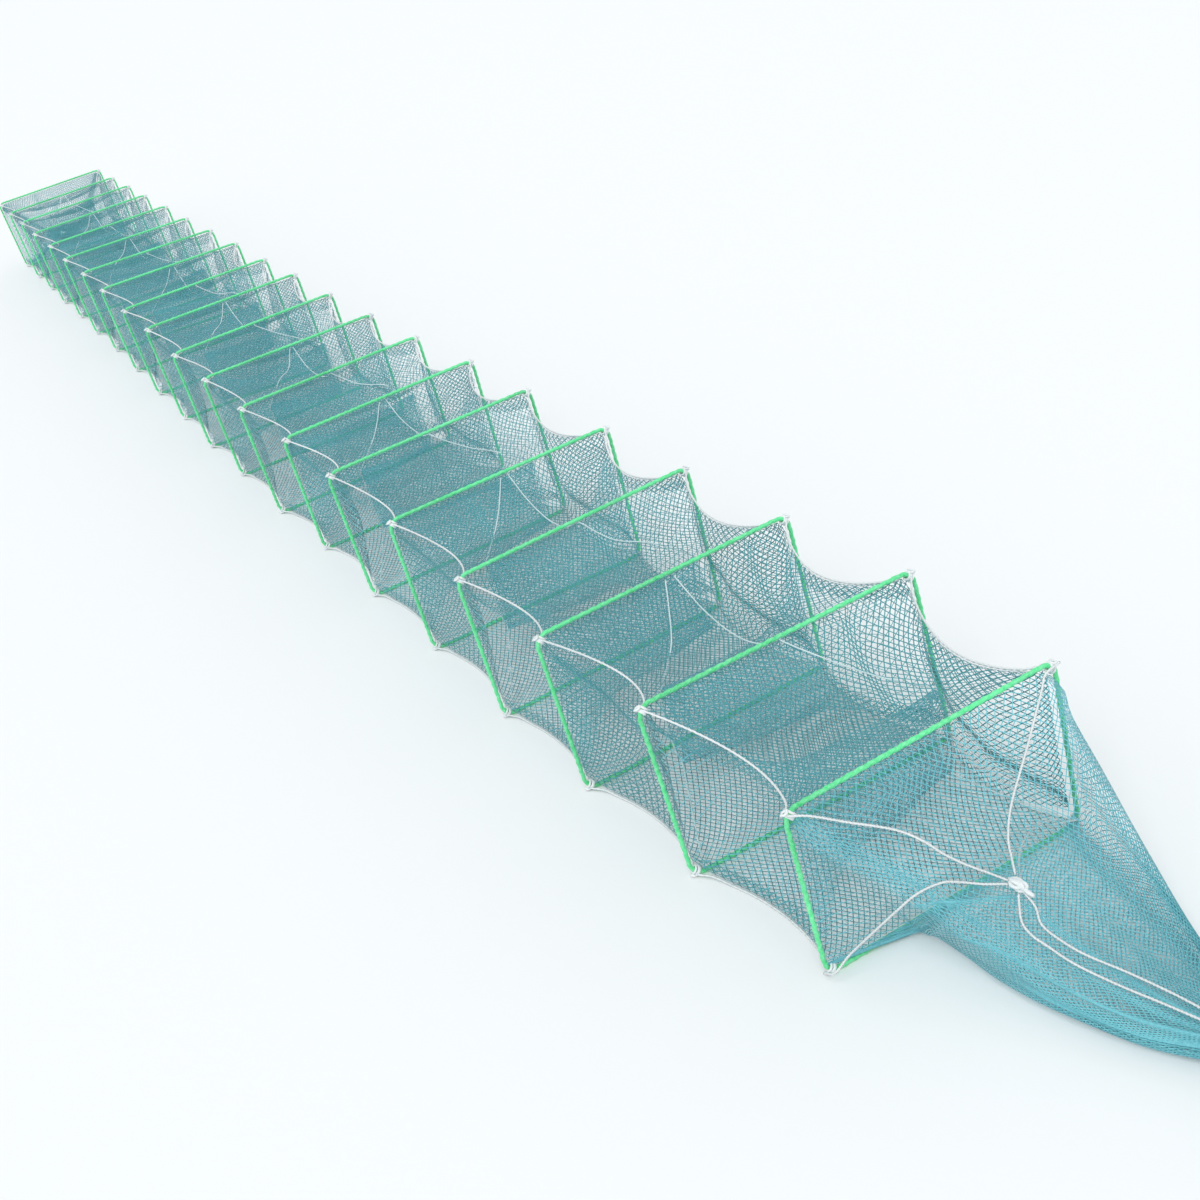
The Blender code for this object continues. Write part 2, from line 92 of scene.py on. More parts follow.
def make_camera():
    bpy.ops.object.camera_add()
    camera = bpy.context.object
    right = CAMERA_LOOK.cross(CAMERA_UP).normalized()
    turn = Matrix((right, CAMERA_UP, -CAMERA_LOOK)).transposed()
    camera.matrix_world = Matrix.Translation(CAMERA_PLACE) @ turn.to_4x4()
    camera.data.lens = CAMERA_LENS
    camera.data.sensor_width = 36.0
    camera.data.clip_end = 60.0
    bpy.context.scene.camera = camera


make_camera()
print("camera lens:", CAMERA_LENS, "mm")

# %% [markdown]
# ## The trap's sizes
#
# Everything follows the solids, so the same sizes and tables stand here again, in metres. There is one
# row for each frame, and ten rows that the spaces between the frames take in turn. The frames are not
# all alike: each one turns and leans a little, as on any trap that has been pulled out by hand.

# %% Sizes
FRAME_WIDTH = 0.350
FRAME_HEIGHT = 0.220
FRAME_CORNER = 0.016
WIRE_RADIUS = 0.0034
WIRE_REST = WIRE_RADIUS * math.cos(math.radians(30))
NET_WALL = 0.001
GAP = 0.0003
FLOOR_PLAY = 0.0006
INSIDE = WIRE_RADIUS + GAP + NET_WALL / 2     # from a wire's centre to the net's
ROPE_RADIUS = 0.0015
KNOT_RADIUS = 0.0042
KNOT_HALF_LENGTH = 0.006
KNOT_LOW = 0.0145
TOP_SAG = 0.020
CORNER = FRAME_CORNER - WIRE_RADIUS           # the net's own corner radius
BOTTOM_DRAW = 0.6                             # the bottom draws in less than the top does
TOUCH_DOWN = 1.6                              # how soon past a wire the bottom net reaches the floor
SLANT = math.sqrt(0.5)                        # the cosine of 45 degrees
SKYWARD = np.array((0.0, 0.0, 1.0))

Frame = namedtuple("Frame", "along across turn lean size", defaults=(1.0,))
FRAMES = [Frame(*row) for row in (
    (0.036, 0.065, -1.5, 3.5, 0.92), (0.245, 0.054, -3.0, 7.0), (0.471, 0.039, -2.0, 4.0),
    (0.699, 0.030, -0.5, 1.0), (0.931, 0.026, -3.5, -0.5), (1.169, 0.017, -3.0, 2.0),
    (1.408, 0.013, -2.5, -3.5), (1.629, 0.000, -3.5, -2.0), (1.875, -0.005, -5.5, -5.5),
    (2.099, -0.012, -4.0, -4.0), (2.331, -0.014, -6.0, 0.0), (2.568, -0.018, -7.0, -3.5),
    (2.810, -0.020, -9.0, -0.5), (3.046, -0.024, -11.0, 0.0), (3.283, -0.031, -11.0, 0.0),
    (3.523, -0.033, -9.5, 1.5), (3.772, -0.039, -6.5, 2.5), (4.007, -0.041, -6.0, 2.5),
    (4.240, -0.045, -5.0, 1.0), (4.474, -0.048, -4.0, 0.0),
)]

Space = namedtuple("Space", "draw_in belly side_draw")
SPACES = [Space(*row) for row in (
    (0.034, 0.016, 0.030), (0.036, 0.020, 0.026), (0.030, 0.014, 0.032), (0.032, 0.018, 0.024),
    (0.028, 0.016, 0.028), (0.034, 0.013, 0.026), (0.030, 0.018, 0.030), (0.026, 0.015, 0.024),
    (0.032, 0.017, 0.028), (0.029, 0.014, 0.026),
)]

print("frames:", len(FRAMES))

# %% [markdown]
# ## A place on the chain
#
# One number says how far along the chain a point is: 0 is the near frame, 1 the second, and 2.5 is
# halfway between the third and the fourth. The functions work on whole arrays of such numbers at once,
# because a net has tens of thousands of crossings and numpy handles them all in one step.

# %% Places along the chain
LAST = len(FRAMES) - 1


def unit(vectors):
    return vectors / np.maximum(np.linalg.norm(vectors, axis=-1, keepdims=True), 1e-12)


TURNS = np.radians([row.turn for row in FRAMES])
LEANS = np.radians([row.lean for row in FRAMES])
FEET = np.array([(row.across, row.along, 0.0) for row in FRAMES]) + SHIFT
SIZES = np.array([row.size for row in FRAMES])
ACROSS = np.stack([np.cos(TURNS), np.sin(TURNS), 0 * TURNS], axis=-1)
LEVEL_ALONG = np.stack([-np.sin(TURNS), np.cos(TURNS), 0 * TURNS], axis=-1)
UP = LEVEL_ALONG * np.sin(LEANS)[:, None] + SKYWARD * np.cos(LEANS)[:, None]
SHAPES = np.array([SPACES[index % len(SPACES)] for index in range(LAST)])

Station = namedtuple("Station", "foot across up along size hang belly side_draw "
                                "half_top half_bottom top bottom")


def net_edges(size, hang, draw_in):
    """The net's half width at the top and at the bottom, and the heights of its top and its floor."""
    half = FRAME_WIDTH / 2 * size - INSIDE
    pull = draw_in * hang
    top = WIRE_REST + FRAME_HEIGHT * size - INSIDE - TOP_SAG * hang
    floor = NET_WALL / 2 + GAP / 2
    on_wire = WIRE_REST + INSIDE + FLOOR_PLAY
    bottom = on_wire + (floor - on_wire) * np.minimum(1.0, TOUCH_DOWN * hang)
    return half - pull, half - BOTTOM_DRAW * pull, top, bottom


def stations(s):
    """The chain's foot, directions and size at the places s, and how the net hangs there."""
    s = np.clip(np.asarray(s, float), 0.0, LAST)
    space = np.minimum(np.floor(s).astype(int), LAST - 1)
    t = s - space
    k = t[..., None]
    foot = FEET[space] * (1 - k) + FEET[space + 1] * k
    across = unit(ACROSS[space] * (1 - k) + ACROSS[space + 1] * k)
    up = unit(UP[space] * (1 - k) + UP[space + 1] * k)
    size = SIZES[space] * (1 - t) + SIZES[space + 1] * t
    hang = 4 * t * (1 - t)
    draw_in, belly, side_draw = np.moveaxis(SHAPES[space], -1, 0)
    return Station(foot, across, up, -np.cross(across, up), size, hang, belly, side_draw,
                   *net_edges(size, hang, draw_in))


def on_station(station, u, v, out=0.0):
    """Points u across and v up from the chain's foot."""
    point = station.foot + station.across * np.asarray(u)[..., None] + station.up * np.asarray(v)[..., None]
    return point + station.along * out


def inlet_side(space):
    """Inlets come in at the left (-1) and at the right (1) by turns."""
    return -1 if space % 2 == 0 else 1


print("chain length:", round(float(FEET[-1][1] - FEET[0][1]), 3), "m")

# %% [markdown]
# ## Paths
#
# A cord lies wherever it fell, so its path is a short list of places with a smooth curve through them.
# The curve is then cut into even steps, because a twist that is laid along it has to turn by the same
# angle at every step.

# %% Along a path
def path_steps(path):
    """The distances from each point of a path to the next."""
    return np.linalg.norm(np.diff(path, axis=0), axis=1)


def path_length(path):
    return float(path_steps(path).sum())


def path_reach(path):
    """How far along a path each of its points lies."""
    return np.concatenate([[0.0], np.cumsum(path_steps(path))])


def even_path(points, spacing):
    """The same path with points at even distances."""
    points = np.asarray(points, float)
    reach = path_reach(points)
    count = max(2, round(reach[-1] / spacing) + 1)
    marks = np.linspace(0.0, reach[-1], count)
    return np.stack([np.interp(marks, reach, points[:, axis]) for axis in range(3)], axis=-1)


def blend_four(before, start, stop, after, t):
    """From start to stop on a curve that also minds the point on either side (Catmull-Rom)."""
    return 0.5 * (2 * start + (stop - before) * t + (2 * before - 5 * start + 4 * stop - after) * t ** 2
                  + (3 * start - before - 3 * stop + after) * t ** 3)


def smooth_route(points, steps=12):
    """A smooth curve through the route's own points."""
    points = np.asarray(points, float)
    ends = np.concatenate([[2 * points[0] - points[1]], points, [2 * points[-1] - points[-2]]])
    t = np.arange(steps)[:, None] / steps
    pieces = [blend_four(*four, t) for four in zip(ends, ends[1:], ends[2:], ends[3:])]
    return np.concatenate(pieces + [points[-1:]])


# %% [markdown]
# ## A mesh from its points and faces
#
# Cords and nets have tens of thousands of points that follow a rule, so their meshes are built from
# arrays of points and faces. Points that no face uses are left out: they would show nothing, and a
# measure of the mesh would still count them.

# %% One helper for such meshes
def new_mesh(name, points, faces, material):
    """A mesh object at the origin, without points that no face uses."""
    used, renumbered = np.unique(np.concatenate([np.ravel(face) for face in faces]), return_inverse=True)
    kept = []
    first = 0
    for group in faces:
        size = np.size(group)
        kept += renumbered[first:first + size].reshape(np.shape(group)).tolist()
        first += size
    mesh = bpy.data.meshes.new(name)
    mesh.from_pydata(np.asarray(points)[used].tolist(), [], kept)
    mesh.validate()
    mesh.shade_smooth()
    mesh.materials.append(material)
    return add_object(name, mesh)


# %% [markdown]
# ## Twisted cord
#
# The cords are three-strand rope. A round tube would look like wire, so the section is a rounded
# star with three lobes that turns as it goes along the path. The turn has to stay under about 45
# degrees from one ring to the next, or the tube pinches shut. The rings are carried along the path
# without rolling, by removing from the last ring's side direction what points along the new one.

# %% Cord making
LOBES = 3
GROOVE = 0.70              # a groove's share of the cord's radius


def cord_rings(path, radius, lay):
    """The rings of a twisted cord: each a star of lobes and grooves, turned by its place along the lay."""
    path = np.asarray(path, float)
    run = unit(np.gradient(path, axis=0))
    side = np.zeros_like(path)
    first = np.cross(run[0], (0.0, 0.0, 1.0))
    if np.linalg.norm(first) < 0.2:
        first = np.cross(run[0], (1.0, 0.0, 0.0))
    side[0] = unit(first)
    for index in range(1, len(path)):
        carried = side[index - 1] - run[index] * np.dot(side[index - 1], run[index])
        side[index] = unit(carried)
    other = np.cross(run, side)
    corners = np.arange(2 * LOBES)
    size = np.where(corners % 2 == 0, radius, radius * GROOVE)
    angle = 2 * np.pi * (corners[None, :] / (2 * LOBES) + path_reach(path)[:, None] / lay)
    return (path[:, None] + side[:, None] * (np.cos(angle) * size)[..., None]
            + other[:, None] * (np.sin(angle) * size)[..., None])


def twisted_cord(name, path, radius, lay, material):
    """A closed twisted tube along a path."""
    rings = cord_rings(path, radius, lay)
    count, around = rings.shape[:2]
    grid = np.arange(count * around).reshape(count, around)
    turned = np.roll(grid, -1, axis=1)
    walls = np.stack([grid[:-1], turned[:-1], turned[1:], grid[1:]], axis=-1).reshape(-1, 4)
    caps = np.stack([grid[0][::-1], grid[-1]])
    return new_mesh(name, rings.reshape(-1, 3), [walls, caps], material)


# %% [markdown]
# ## Finishes shared by all
#
# Fibres, tape and twine all vary a little from place to place: paler where they have worn, deeper
# where they are damp or dirty. That one effect is a node group with its own inputs, so each material
# can use it at its own scale. It puts out only two masks, which the material's own nodes turn into
# colour, roughness and relief.

# %% Patches and fibres
def add_node(nodes, kind, **values):
    """A new node; from_min=0.3 sets its socket From Min, and so on."""
    node = nodes.new("ShaderNode" + kind)
    for label, value in values.items():
        node.inputs[label.replace("_", " ").title()].default_value = value
    return node


def make_variation_group():
    """Broad patches and fine fibres as two masks from Object coordinates."""
    group = bpy.data.node_groups.new("patch_and_fibre", "ShaderNodeTree")
    for label, default in (("Patch Scale", 4.0), ("Fibre Scale", 300.0)):
        socket = group.interface.new_socket(label, in_out="INPUT", socket_type="NodeSocketFloat")
        socket.default_value = default
    for label in ("Patch", "Fibre"):
        group.interface.new_socket(label, in_out="OUTPUT", socket_type="NodeSocketFloat")
    nodes, links = group.nodes, group.links
    entry = nodes.new("NodeGroupInput")
    leave = nodes.new("NodeGroupOutput")
    where = add_node(nodes, "TexCoord")
    for label, detail in (("Patch", 2.0), ("Fibre", 3.0)):
        noise = add_node(nodes, "TexNoise", detail=detail)
        spread = add_node(nodes, "MapRange", from_min=0.3, from_max=0.7)
        links.new(where.outputs["Object"], noise.inputs["Vector"])
        links.new(entry.outputs[label + " Scale"], noise.inputs["Scale"])
        links.new(noise.outputs["Fac"], spread.inputs["Value"])
        links.new(spread.outputs["Result"], leave.inputs[label])
    return group


VARIATION = make_variation_group()
print("shared effect:", VARIATION.name)

# %% [markdown]
# ## The five finishes
#
# Green tape, the sleeve's twine, a paler copy of that twine for the inlets and tails, white rope and thin
# string are all that the trap is made of. The paler copy is in part painted light: its tints are raised
# to make up for the shade that falls on the funnels inside the trap. A finish is one row: its deep,
# plain and pale tints, the scales of its patches and fibres, its relief, roughness and sheen. One
# function turns a row into a material, so only the row says how the finishes differ.

# %% Finishes
def new_material(name):
    """A material with nodes, and its shader."""
    material = bpy.data.materials.new(name)
    material.use_nodes = True
    return material, material.node_tree.nodes["Principled BSDF"]


FIBRE_SHARE = 0.5            # how far the palest fibres go towards the pale tint
SMOOTHER, ROUGHER = -0.10, 0.12
Finish = namedtuple("Finish", "deep plain pale patch_scale fibre_scale bump rough sheen")
FINISHES = {
    "green_tape": Finish((0.040, 0.56, 0.17), (0.090, 0.80, 0.29), (0.36, 0.95, 0.58),
                         9.0, 260.0, 0.0004, 0.34, 0.0),
    "net_twine": Finish((0.022, 0.175, 0.205), (0.046, 0.270, 0.305), (0.135, 0.450, 0.490),
                        5.0, 420.0, 0.0, 0.60, 0.1),
    # A paler copy of the sleeve's twine, painted light: its tints are raised against the shade on the
    # funnels inside the trap.
    "twine_lightened_for_shade": Finish((0.055, 0.310, 0.375), (0.125, 0.465, 0.535), (0.265, 0.660, 0.710),
                          8.0, 420.0, 0.0, 0.60, 0.1),
    "white_rope": Finish((0.66, 0.73, 0.74), (0.86, 0.90, 0.90), (0.94, 0.96, 0.96),
                         12.0, 900.0, 0.0003, 0.62, 0.4),
    "hold_string": Finish((0.50, 0.70, 0.73), (0.68, 0.84, 0.86), (0.82, 0.90, 0.91),
                          12.0, 700.0, 0.0002, 0.55, 0.3),
}


def make_finish(name):
    """Three tints mixed by patch and by fibre, with a little relief where the surface is solid."""
    finish = FINISHES[name]
    material, shader = new_material(name)
    nodes, links = material.node_tree.nodes, material.node_tree.links
    shader.inputs["Sheen Weight"].default_value = finish.sheen
    vary = add_node(nodes, "Group")
    vary.node_tree = VARIATION
    vary.inputs["Patch Scale"].default_value = finish.patch_scale
    vary.inputs["Fibre Scale"].default_value = finish.fibre_scale
    patch = add_node(nodes, "Mix")
    fibre = add_node(nodes, "Mix")
    for mix in (patch, fibre):
        mix.data_type = "RGBA"
    patch.inputs["A"].default_value = (*finish.deep, 1.0)
    patch.inputs["B"].default_value = (*finish.plain, 1.0)
    fibre.inputs["B"].default_value = (*finish.pale, 1.0)
    halve = add_node(nodes, "Math")
    halve.operation = "MULTIPLY"
    halve.inputs[1].default_value = FIBRE_SHARE
    rough = add_node(nodes, "MapRange", to_min=finish.rough + SMOOTHER, to_max=finish.rough + ROUGHER)
    links.new(vary.outputs["Patch"], patch.inputs["Factor"])
    links.new(patch.outputs["Result"], fibre.inputs["A"])
    links.new(vary.outputs["Fibre"], halve.inputs[0])
    links.new(halve.outputs["Value"], fibre.inputs["Factor"])
    links.new(fibre.outputs["Result"], shader.inputs["Base Color"])
    links.new(vary.outputs["Patch"], rough.inputs["Value"])
    links.new(rough.outputs["Result"], shader.inputs["Roughness"])
    if finish.bump:
        bump = add_node(nodes, "Bump", distance=finish.bump)
        links.new(vary.outputs["Fibre"], bump.inputs["Height"])
        links.new(bump.outputs["Normal"], shader.inputs["Normal"])
    return material


FINISH = {name: make_finish(name) for name in FINISHES}
print("finishes:", ", ".join(FINISH))

# %% [markdown]
# ## The pulling cords
#
# Four cords leave the corners of the near frame, meet in one knot on the slack tail and go on as two
# hauling lines. They are limp 3 mm rope. Each route is a short list of points that lie on the net, and
# the curve through them is the cord's real line, so its length is what was cut. They come first,
# because free cords may spread too far, and then the solids move before anything else is dressed.

# %% Cord routes
BRIDLE_KNOT = np.array((0.054, -0.078, 0.1060)) + SHIFT
BRIDLE_KNOT_RADIUS = 0.0085
CORD_LAY = 0.011
CORD_STEP = 0.0013

ROUTES = {
    "bridle_top_left": [(-0.080, 0.034, 0.203), (-0.054, 0.019, 0.189), (-0.018, -0.004, 0.171),
                        (0.000, -0.020, 0.156), (0.010, -0.034, 0.143), (0.022, -0.047, 0.131),
                        (0.037, -0.060, 0.119)],
    "bridle_top_right": [(0.206, 0.034, 0.204), (0.190, 0.024, 0.196), (0.141, -0.006, 0.173),
                         (0.095, -0.032, 0.149), (0.073, -0.049, 0.132), (0.064, -0.062, 0.119)],
    "bridle_bottom_left": [(-0.098, 0.020, 0.022), (-0.084, 0.010, 0.044), (-0.068, -0.006, 0.070),
                           (-0.048, -0.028, 0.104), (-0.030, -0.041, 0.124), (-0.006, -0.048, 0.127),
                           (0.010, -0.054, 0.121), (0.028, -0.064, 0.1135)],
    "bridle_bottom_right": [(0.2160, 0.022, 0.0175), (0.202, 0.022, 0.024), (0.186, 0.020, 0.038),
                            (0.150, 0.006, 0.061), (0.116, -0.014, 0.075), (0.088, -0.040, 0.084),
                            (0.064, -0.070, 0.0935), (0.058, -0.0745, 0.0955)],
    "haul_cord": [(0.037, -0.099, 0.0870), (0.036, -0.112, 0.0790), (0.041, -0.126, 0.0720),
                  (0.050, -0.150, 0.0610), (0.066, -0.185, 0.0510), (0.082, -0.225, 0.0465),
                  (0.094, -0.265, 0.0450), (0.101, -0.3105, 0.0447)],
    "haul_cord_spare": [(0.055, -0.098, 0.0910), (0.050, -0.110, 0.0810), (0.054, -0.126, 0.0720),
                        (0.064, -0.148, 0.0615), (0.082, -0.180, 0.0510), (0.096, -0.225, 0.0465),
                        (0.103, -0.265, 0.0450), (0.109, -0.3105, 0.0447)],
}

# %% [markdown]
# ## The cords from end to end
#
# A route holds the places along the way. A bridle cord starts at its corner's knot on the near frame
# and ends where it meets the bridle's knot. Both ends are worked out from the sizes, except for the
# lower right cord, whose list already holds them. The hauling lines start at the bridle's knot.

# %% Free cords
def cord_start(side, upper):
    """Just in front of the corner rope's knot on the near frame."""
    half = FRAME_WIDTH / 2 * SIZES[0]
    if upper:
        inner = FRAME_CORNER * (1 - SLANT)
        clear = WIRE_RADIUS + KNOT_RADIUS + GAP
        u = side * (half - inner + clear * SLANT)
        v = FRAME_HEIGHT * SIZES[0] + WIRE_REST - inner + clear * SLANT
    else:
        u = side * (half + WIRE_RADIUS + KNOT_RADIUS * SLANT + GAP)
        v = KNOT_LOW
    return on_station(stations(0.0), u, v, -KNOT_HALF_LENGTH) - np.array((0.0, ROPE_RADIUS + GAP, 0.0))


def beside_knot(point):
    """Where a cord that comes from the given point meets the knot."""
    return BRIDLE_KNOT + unit(np.asarray(point) - BRIDLE_KNOT) * (BRIDLE_KNOT_RADIUS + GAP)


STARTS = {
    "bridle_top_left": (-1, True),
    "bridle_top_right": (1, True),
    "bridle_bottom_left": (-1, False),
}


def cord_line(name):
    """A cord's whole line, from its start to the knot, or from the knot to its cut end."""
    route = [np.array(point) + SHIFT for point in ROUTES[name]]
    if name in STARTS:
        route = [cord_start(*STARTS[name])] + route + [beside_knot(route[-1])]
    elif name.startswith("haul"):
        route = [beside_knot(route[0])] + route
    return even_path(smooth_route(route), CORD_STEP)


def make_free_cords():
    for name in ROUTES:
        path = cord_line(name)
        cord = twisted_cord(name + "_laid", path, ROPE_RADIUS, CORD_LAY, FINISH["white_rope"])
        dress(cord, name)


make_free_cords()

# %% [markdown]
# ## The wire frames
#
# A frame is steel wire wound with green plastic tape, so it is lumpy, with a slanting edge at every
# turn of the tape. A Curve modifier can bend a straight length of such wire round a rectangle, so the
# rectangle comes first, as a closed curve with round corners.

# %% The line of a frame
BEND_STEPS = 6


def ring_outline(size):
    """The centre line of a frame, drawn upright in the XZ plane with its bottom wire at the origin."""
    half = FRAME_WIDTH / 2 * size
    height = FRAME_HEIGHT * size
    corners = [(half, height, 0), (-half, height, 90), (-half, 0.0, 180), (half, 0.0, 270)]
    points = []
    for x, z, start in corners:
        x -= math.copysign(FRAME_CORNER, x)
        z += FRAME_CORNER if z == 0.0 else -FRAME_CORNER
        for step in range(BEND_STEPS + 1):
            angle = math.radians(start + 90 * step / BEND_STEPS)
            points.append((x + FRAME_CORNER * math.cos(angle), 0.0, z + FRAME_CORNER * math.sin(angle)))
    return points


def bending_track(points):
    """A closed curve through the points, for a Curve modifier to bend a straight piece along."""
    track = bpy.data.curves.new("frame_track", "CURVE")
    track.dimensions = "3D"
    track.twist_mode = "MINIMUM"
    spline = track.splines.new("POLY")
    spline.points.add(len(points) - 1)
    for point, place in zip(spline.points, points):
        point.co = (*place, 1.0)
    spline.use_cyclic_u = True
    return add_object("frame_track", track)


# %% [markdown]
# ## Winding the tape
#
# The wire starts as a six-cornered circle whose corners are pulled to different distances. A Screw
# modifier turns it as it rises, which lays those steps into a helix, and the Curve modifier bends the
# straight length round the rectangle. The pitch is the rectangle's length over a whole number of
# turns, so the last turn meets the first, and points that fall together there are merged.

# %% Wound wire
TAPE_PITCH = 0.0125
TAPE_STEPS = (0.90, 0.81, 0.73, 0.68, 0.73, 0.82)     # share of the wire's radius round one turn
STEPS_PER_TURN = 8
MERGE_DISTANCE = 0.0002


def wound_ring(size):
    """A frame of the given size in the upright drawing: wound, then bent round its track."""
    points = ring_outline(size)
    length = sum(math.dist(a, b) for a, b in zip(points, points[1:] + points[:1]))
    rail = bending_track(points)
    bpy.ops.object.select_all(action="DESELECT")
    bpy.ops.mesh.primitive_circle_add(vertices=len(TAPE_STEPS), radius=WIRE_RADIUS)
    ring = bpy.context.object
    for vert, share in zip(ring.data.vertices, TAPE_STEPS):
        vert.co *= share
    turns = round(length / TAPE_PITCH)
    screw = ring.modifiers.new("Winding", "SCREW")
    screw.axis = "Z"
    screw.steps = screw.render_steps = STEPS_PER_TURN
    screw.iterations = turns
    screw.screw_offset = length / turns
    screw.use_smooth_shade = False
    bend = ring.modifiers.new("Bend", "CURVE")
    bend.object = rail
    bend.deform_axis = "POS_Z"
    for modifier in ("Winding", "Bend"):
        bpy.ops.object.modifier_apply(modifier=modifier)
    bpy.ops.object.mode_set(mode="EDIT")
    bpy.ops.mesh.select_all(action="SELECT")
    bpy.ops.mesh.remove_doubles(threshold=MERGE_DISTANCE)
    bpy.ops.mesh.normals_make_consistent(inside=False)
    bpy.ops.object.mode_set(mode="OBJECT")
    bpy.data.objects.remove(rail)
    return ring


# %% [markdown]
# ## A frame at every place
#
# A full-size frame is modelled once and each place on the chain gets its own copy. The near frame is a
# little smaller and has its own. One matrix turns, leans and moves the upright drawing to its place.
# Each copy is then set down so that its lowest point touches the floor.

# %% Twenty frames
def frame_matrix(number):
    """From the upright drawing of a frame to its place on the chain."""
    station = stations(float(number))
    turn = Matrix((station.across, station.along, station.up)).transposed().to_4x4()
    return Matrix.Translation(station.foot + station.up * WIRE_REST) @ turn


def make_frames():
    full = wound_ring(1.0)
    near = wound_ring(FRAMES[0].size)
    for number in range(len(FRAMES)):
        source = near if number == 0 else full
        mesh = source.data.copy()
        mesh.transform(frame_matrix(number))
        mesh.materials.clear()
        mesh.materials.append(FINISH["green_tape"])
        wire = add_object(f"wound_frame_{number + 1:02d}", mesh)
        low = min(vert.co.z for vert in mesh.vertices)
        mesh.transform(Matrix.Translation((0.0, 0.0, -low)))
        dress(wire, f"frame_{number + 1:02d}")
    print("a frame has", len(full.data.polygons), "faces")
    bpy.data.objects.remove(full)
    bpy.data.objects.remove(near)


make_frames()

# %% [markdown]
# ## Netting from strands
#
# The netting is made of real strands, because its diamonds are large enough to see and light has to
# pass through them. A strand runs slantwise over the surface, and a second family of strands runs the
# other way. Each piece of a strand is one narrow flat ribbon that crosses one cell, so a whole net
# takes two faces for each cell. The surface is only a function: give it how many cells along and how
# many across, and it gives the point. That way the same helper knits the flat top, the funnels and
# the gathered tails.

# %% Knitting
STRAND_LIFT = 0.00012      # the two families lie one over the other
TWINE = 0.00122
BOTTOM_TWINE = 0.00095


def knit(name, surface, rows, columns, width, material, closed=False, keep=None):
    """Strands on both diagonals of a surface that is rows cells long and columns cells wide."""
    row = np.arange(rows + 1.0)
    column = np.arange(columns + (0.0 if closed else 1.0))
    a, b = np.meshgrid(row, column, indexing="ij")
    ahead = surface(a + 0.1, b) - surface(a - 0.1, b)
    beside = surface(a, b + 0.1) - surface(a, b - 0.1)
    normal = unit(np.cross(ahead, beside))
    centre = surface(a, b)
    points, faces, total = [], [], 0
    for slant in (1, -1):
        run = surface(a + 0.5, b + 0.5 * slant) - surface(a - 0.5, b - 0.5 * slant)
        side = unit(np.cross(normal, run)) * width / 2
        middle = centre + normal * STRAND_LIFT * slant
        strand = np.stack([middle - side, middle + side], axis=2)
        number = total + np.arange(strand[..., 0].size).reshape(strand.shape[:3])
        total += number.size
        points.append(strand.reshape(-1, 3))
        if closed:
            start, stop = number[:-1], np.roll(number, -slant, axis=1)[1:]
            mid_b = b[:-1]
        elif slant > 0:
            start, stop = number[:-1, :-1], number[1:, 1:]
            mid_b = b[:-1, :-1]
        else:
            start, stop = number[:-1, 1:], number[1:, :-1]
            mid_b = b[:-1, 1:] - 1
        quads = np.stack([start[..., 0], stop[..., 0], stop[..., 1], start[..., 1]], axis=-1)
        if keep is not None:
            mid_a = a[:-1, :mid_b.shape[1]] + 0.5
            quads = quads[keep(mid_a, mid_b + 0.5)]
        faces.append(quads.reshape(-1, 4))
    net = new_mesh(name, np.concatenate(points), [np.concatenate(faces)], material)
    print(name, len(net.data.polygons), "faces", round(sum(p.area for p in net.data.polygons), 4), "m2")
    return net


# %% [markdown]
# ## Gathering the strands
#
# Where a net is slack it bunches up along a line, and there its strands lie close together. A fold can
# be had without new points: before the surface is asked for a place, the place is drawn towards the
# fold's own line. Right on the line the strands come closer by the strength given, and further off
# they spread a little to make up for it. A strength below zero spreads them on the line instead.

# %% Gathers
def gather(place, line, width, strength):
    """Places drawn towards a line: strength 0 leaves them, 1 would bring them all together."""
    off = place - line
    return place - strength * off * np.exp(-(off / width) ** 2)


def ease(t):
    """From 0 to 1 with a gentle start and stop."""
    return t * t * (3 - 2 * t)


def split_places(s):
    """The space that each place lies in, and how far through it."""
    space = np.floor(np.clip(s, 0, LAST - 1e-6))
    return space, s - space


# %% [markdown]
# ## The sleeve
#
# The sleeve is sewn together along the corner ropes from a top, a bottom and two sides. All hang
# between the frames, and small wrinkles run across the chain where the net is slack. A wrinkle is a
# sine wave whose phase changes with the place, so that no two spaces look the same. At a seam every
# strip bends by half of the corner, with the corner's own radius.

# %% What all four strips share
HEM = CORNER * math.pi / 4          # from the seam to where the flat of a strip begins


def ripples(s, v, count, seed):
    """A smooth, uneven wave over a strip; it differs from space to space."""
    space, t = split_places(s)
    phase = seed + 2.4 * space
    wave = np.sin(2 * np.pi * count * t + phase + 1.1 * np.sin(2.3 * v + phase))
    return wave * (0.65 + 0.35 * np.sin(3.7 * v + 1.7 * phase))


def across_strip(v, half):
    """How far out a strip's place v is, how far it has bent round the corner, and how slack it is."""
    flat = half - CORNER
    reach = np.abs(v) * (flat + HEM)
    x = np.minimum(reach, flat)
    bend = np.maximum(reach - flat, 0.0) / CORNER
    return np.sign(v) * (x + CORNER * np.sin(bend)), bend, 1 - (x / flat) ** 2


# %% [markdown]
# ## The top and the bottom
#
# The top bellies down between two frames, and it is bunched up along a few lines, more so further
# along the chain, where the net is slacker. The bottom lies on the floor and rises over each wire.

# %% Top and bottom surfaces
NEAR_BUNCH = (0.13, 0.62)           # the width and strength of a gather
FAR_BUNCH = (0.10, 0.55)
LONG_BUNCH = (0.13, 0.50)
TOP_SLACK = 0.0020                  # how deep the wrinkles are at the near end
FAR_SLACK = 0.0055                  # and how much deeper they get further on


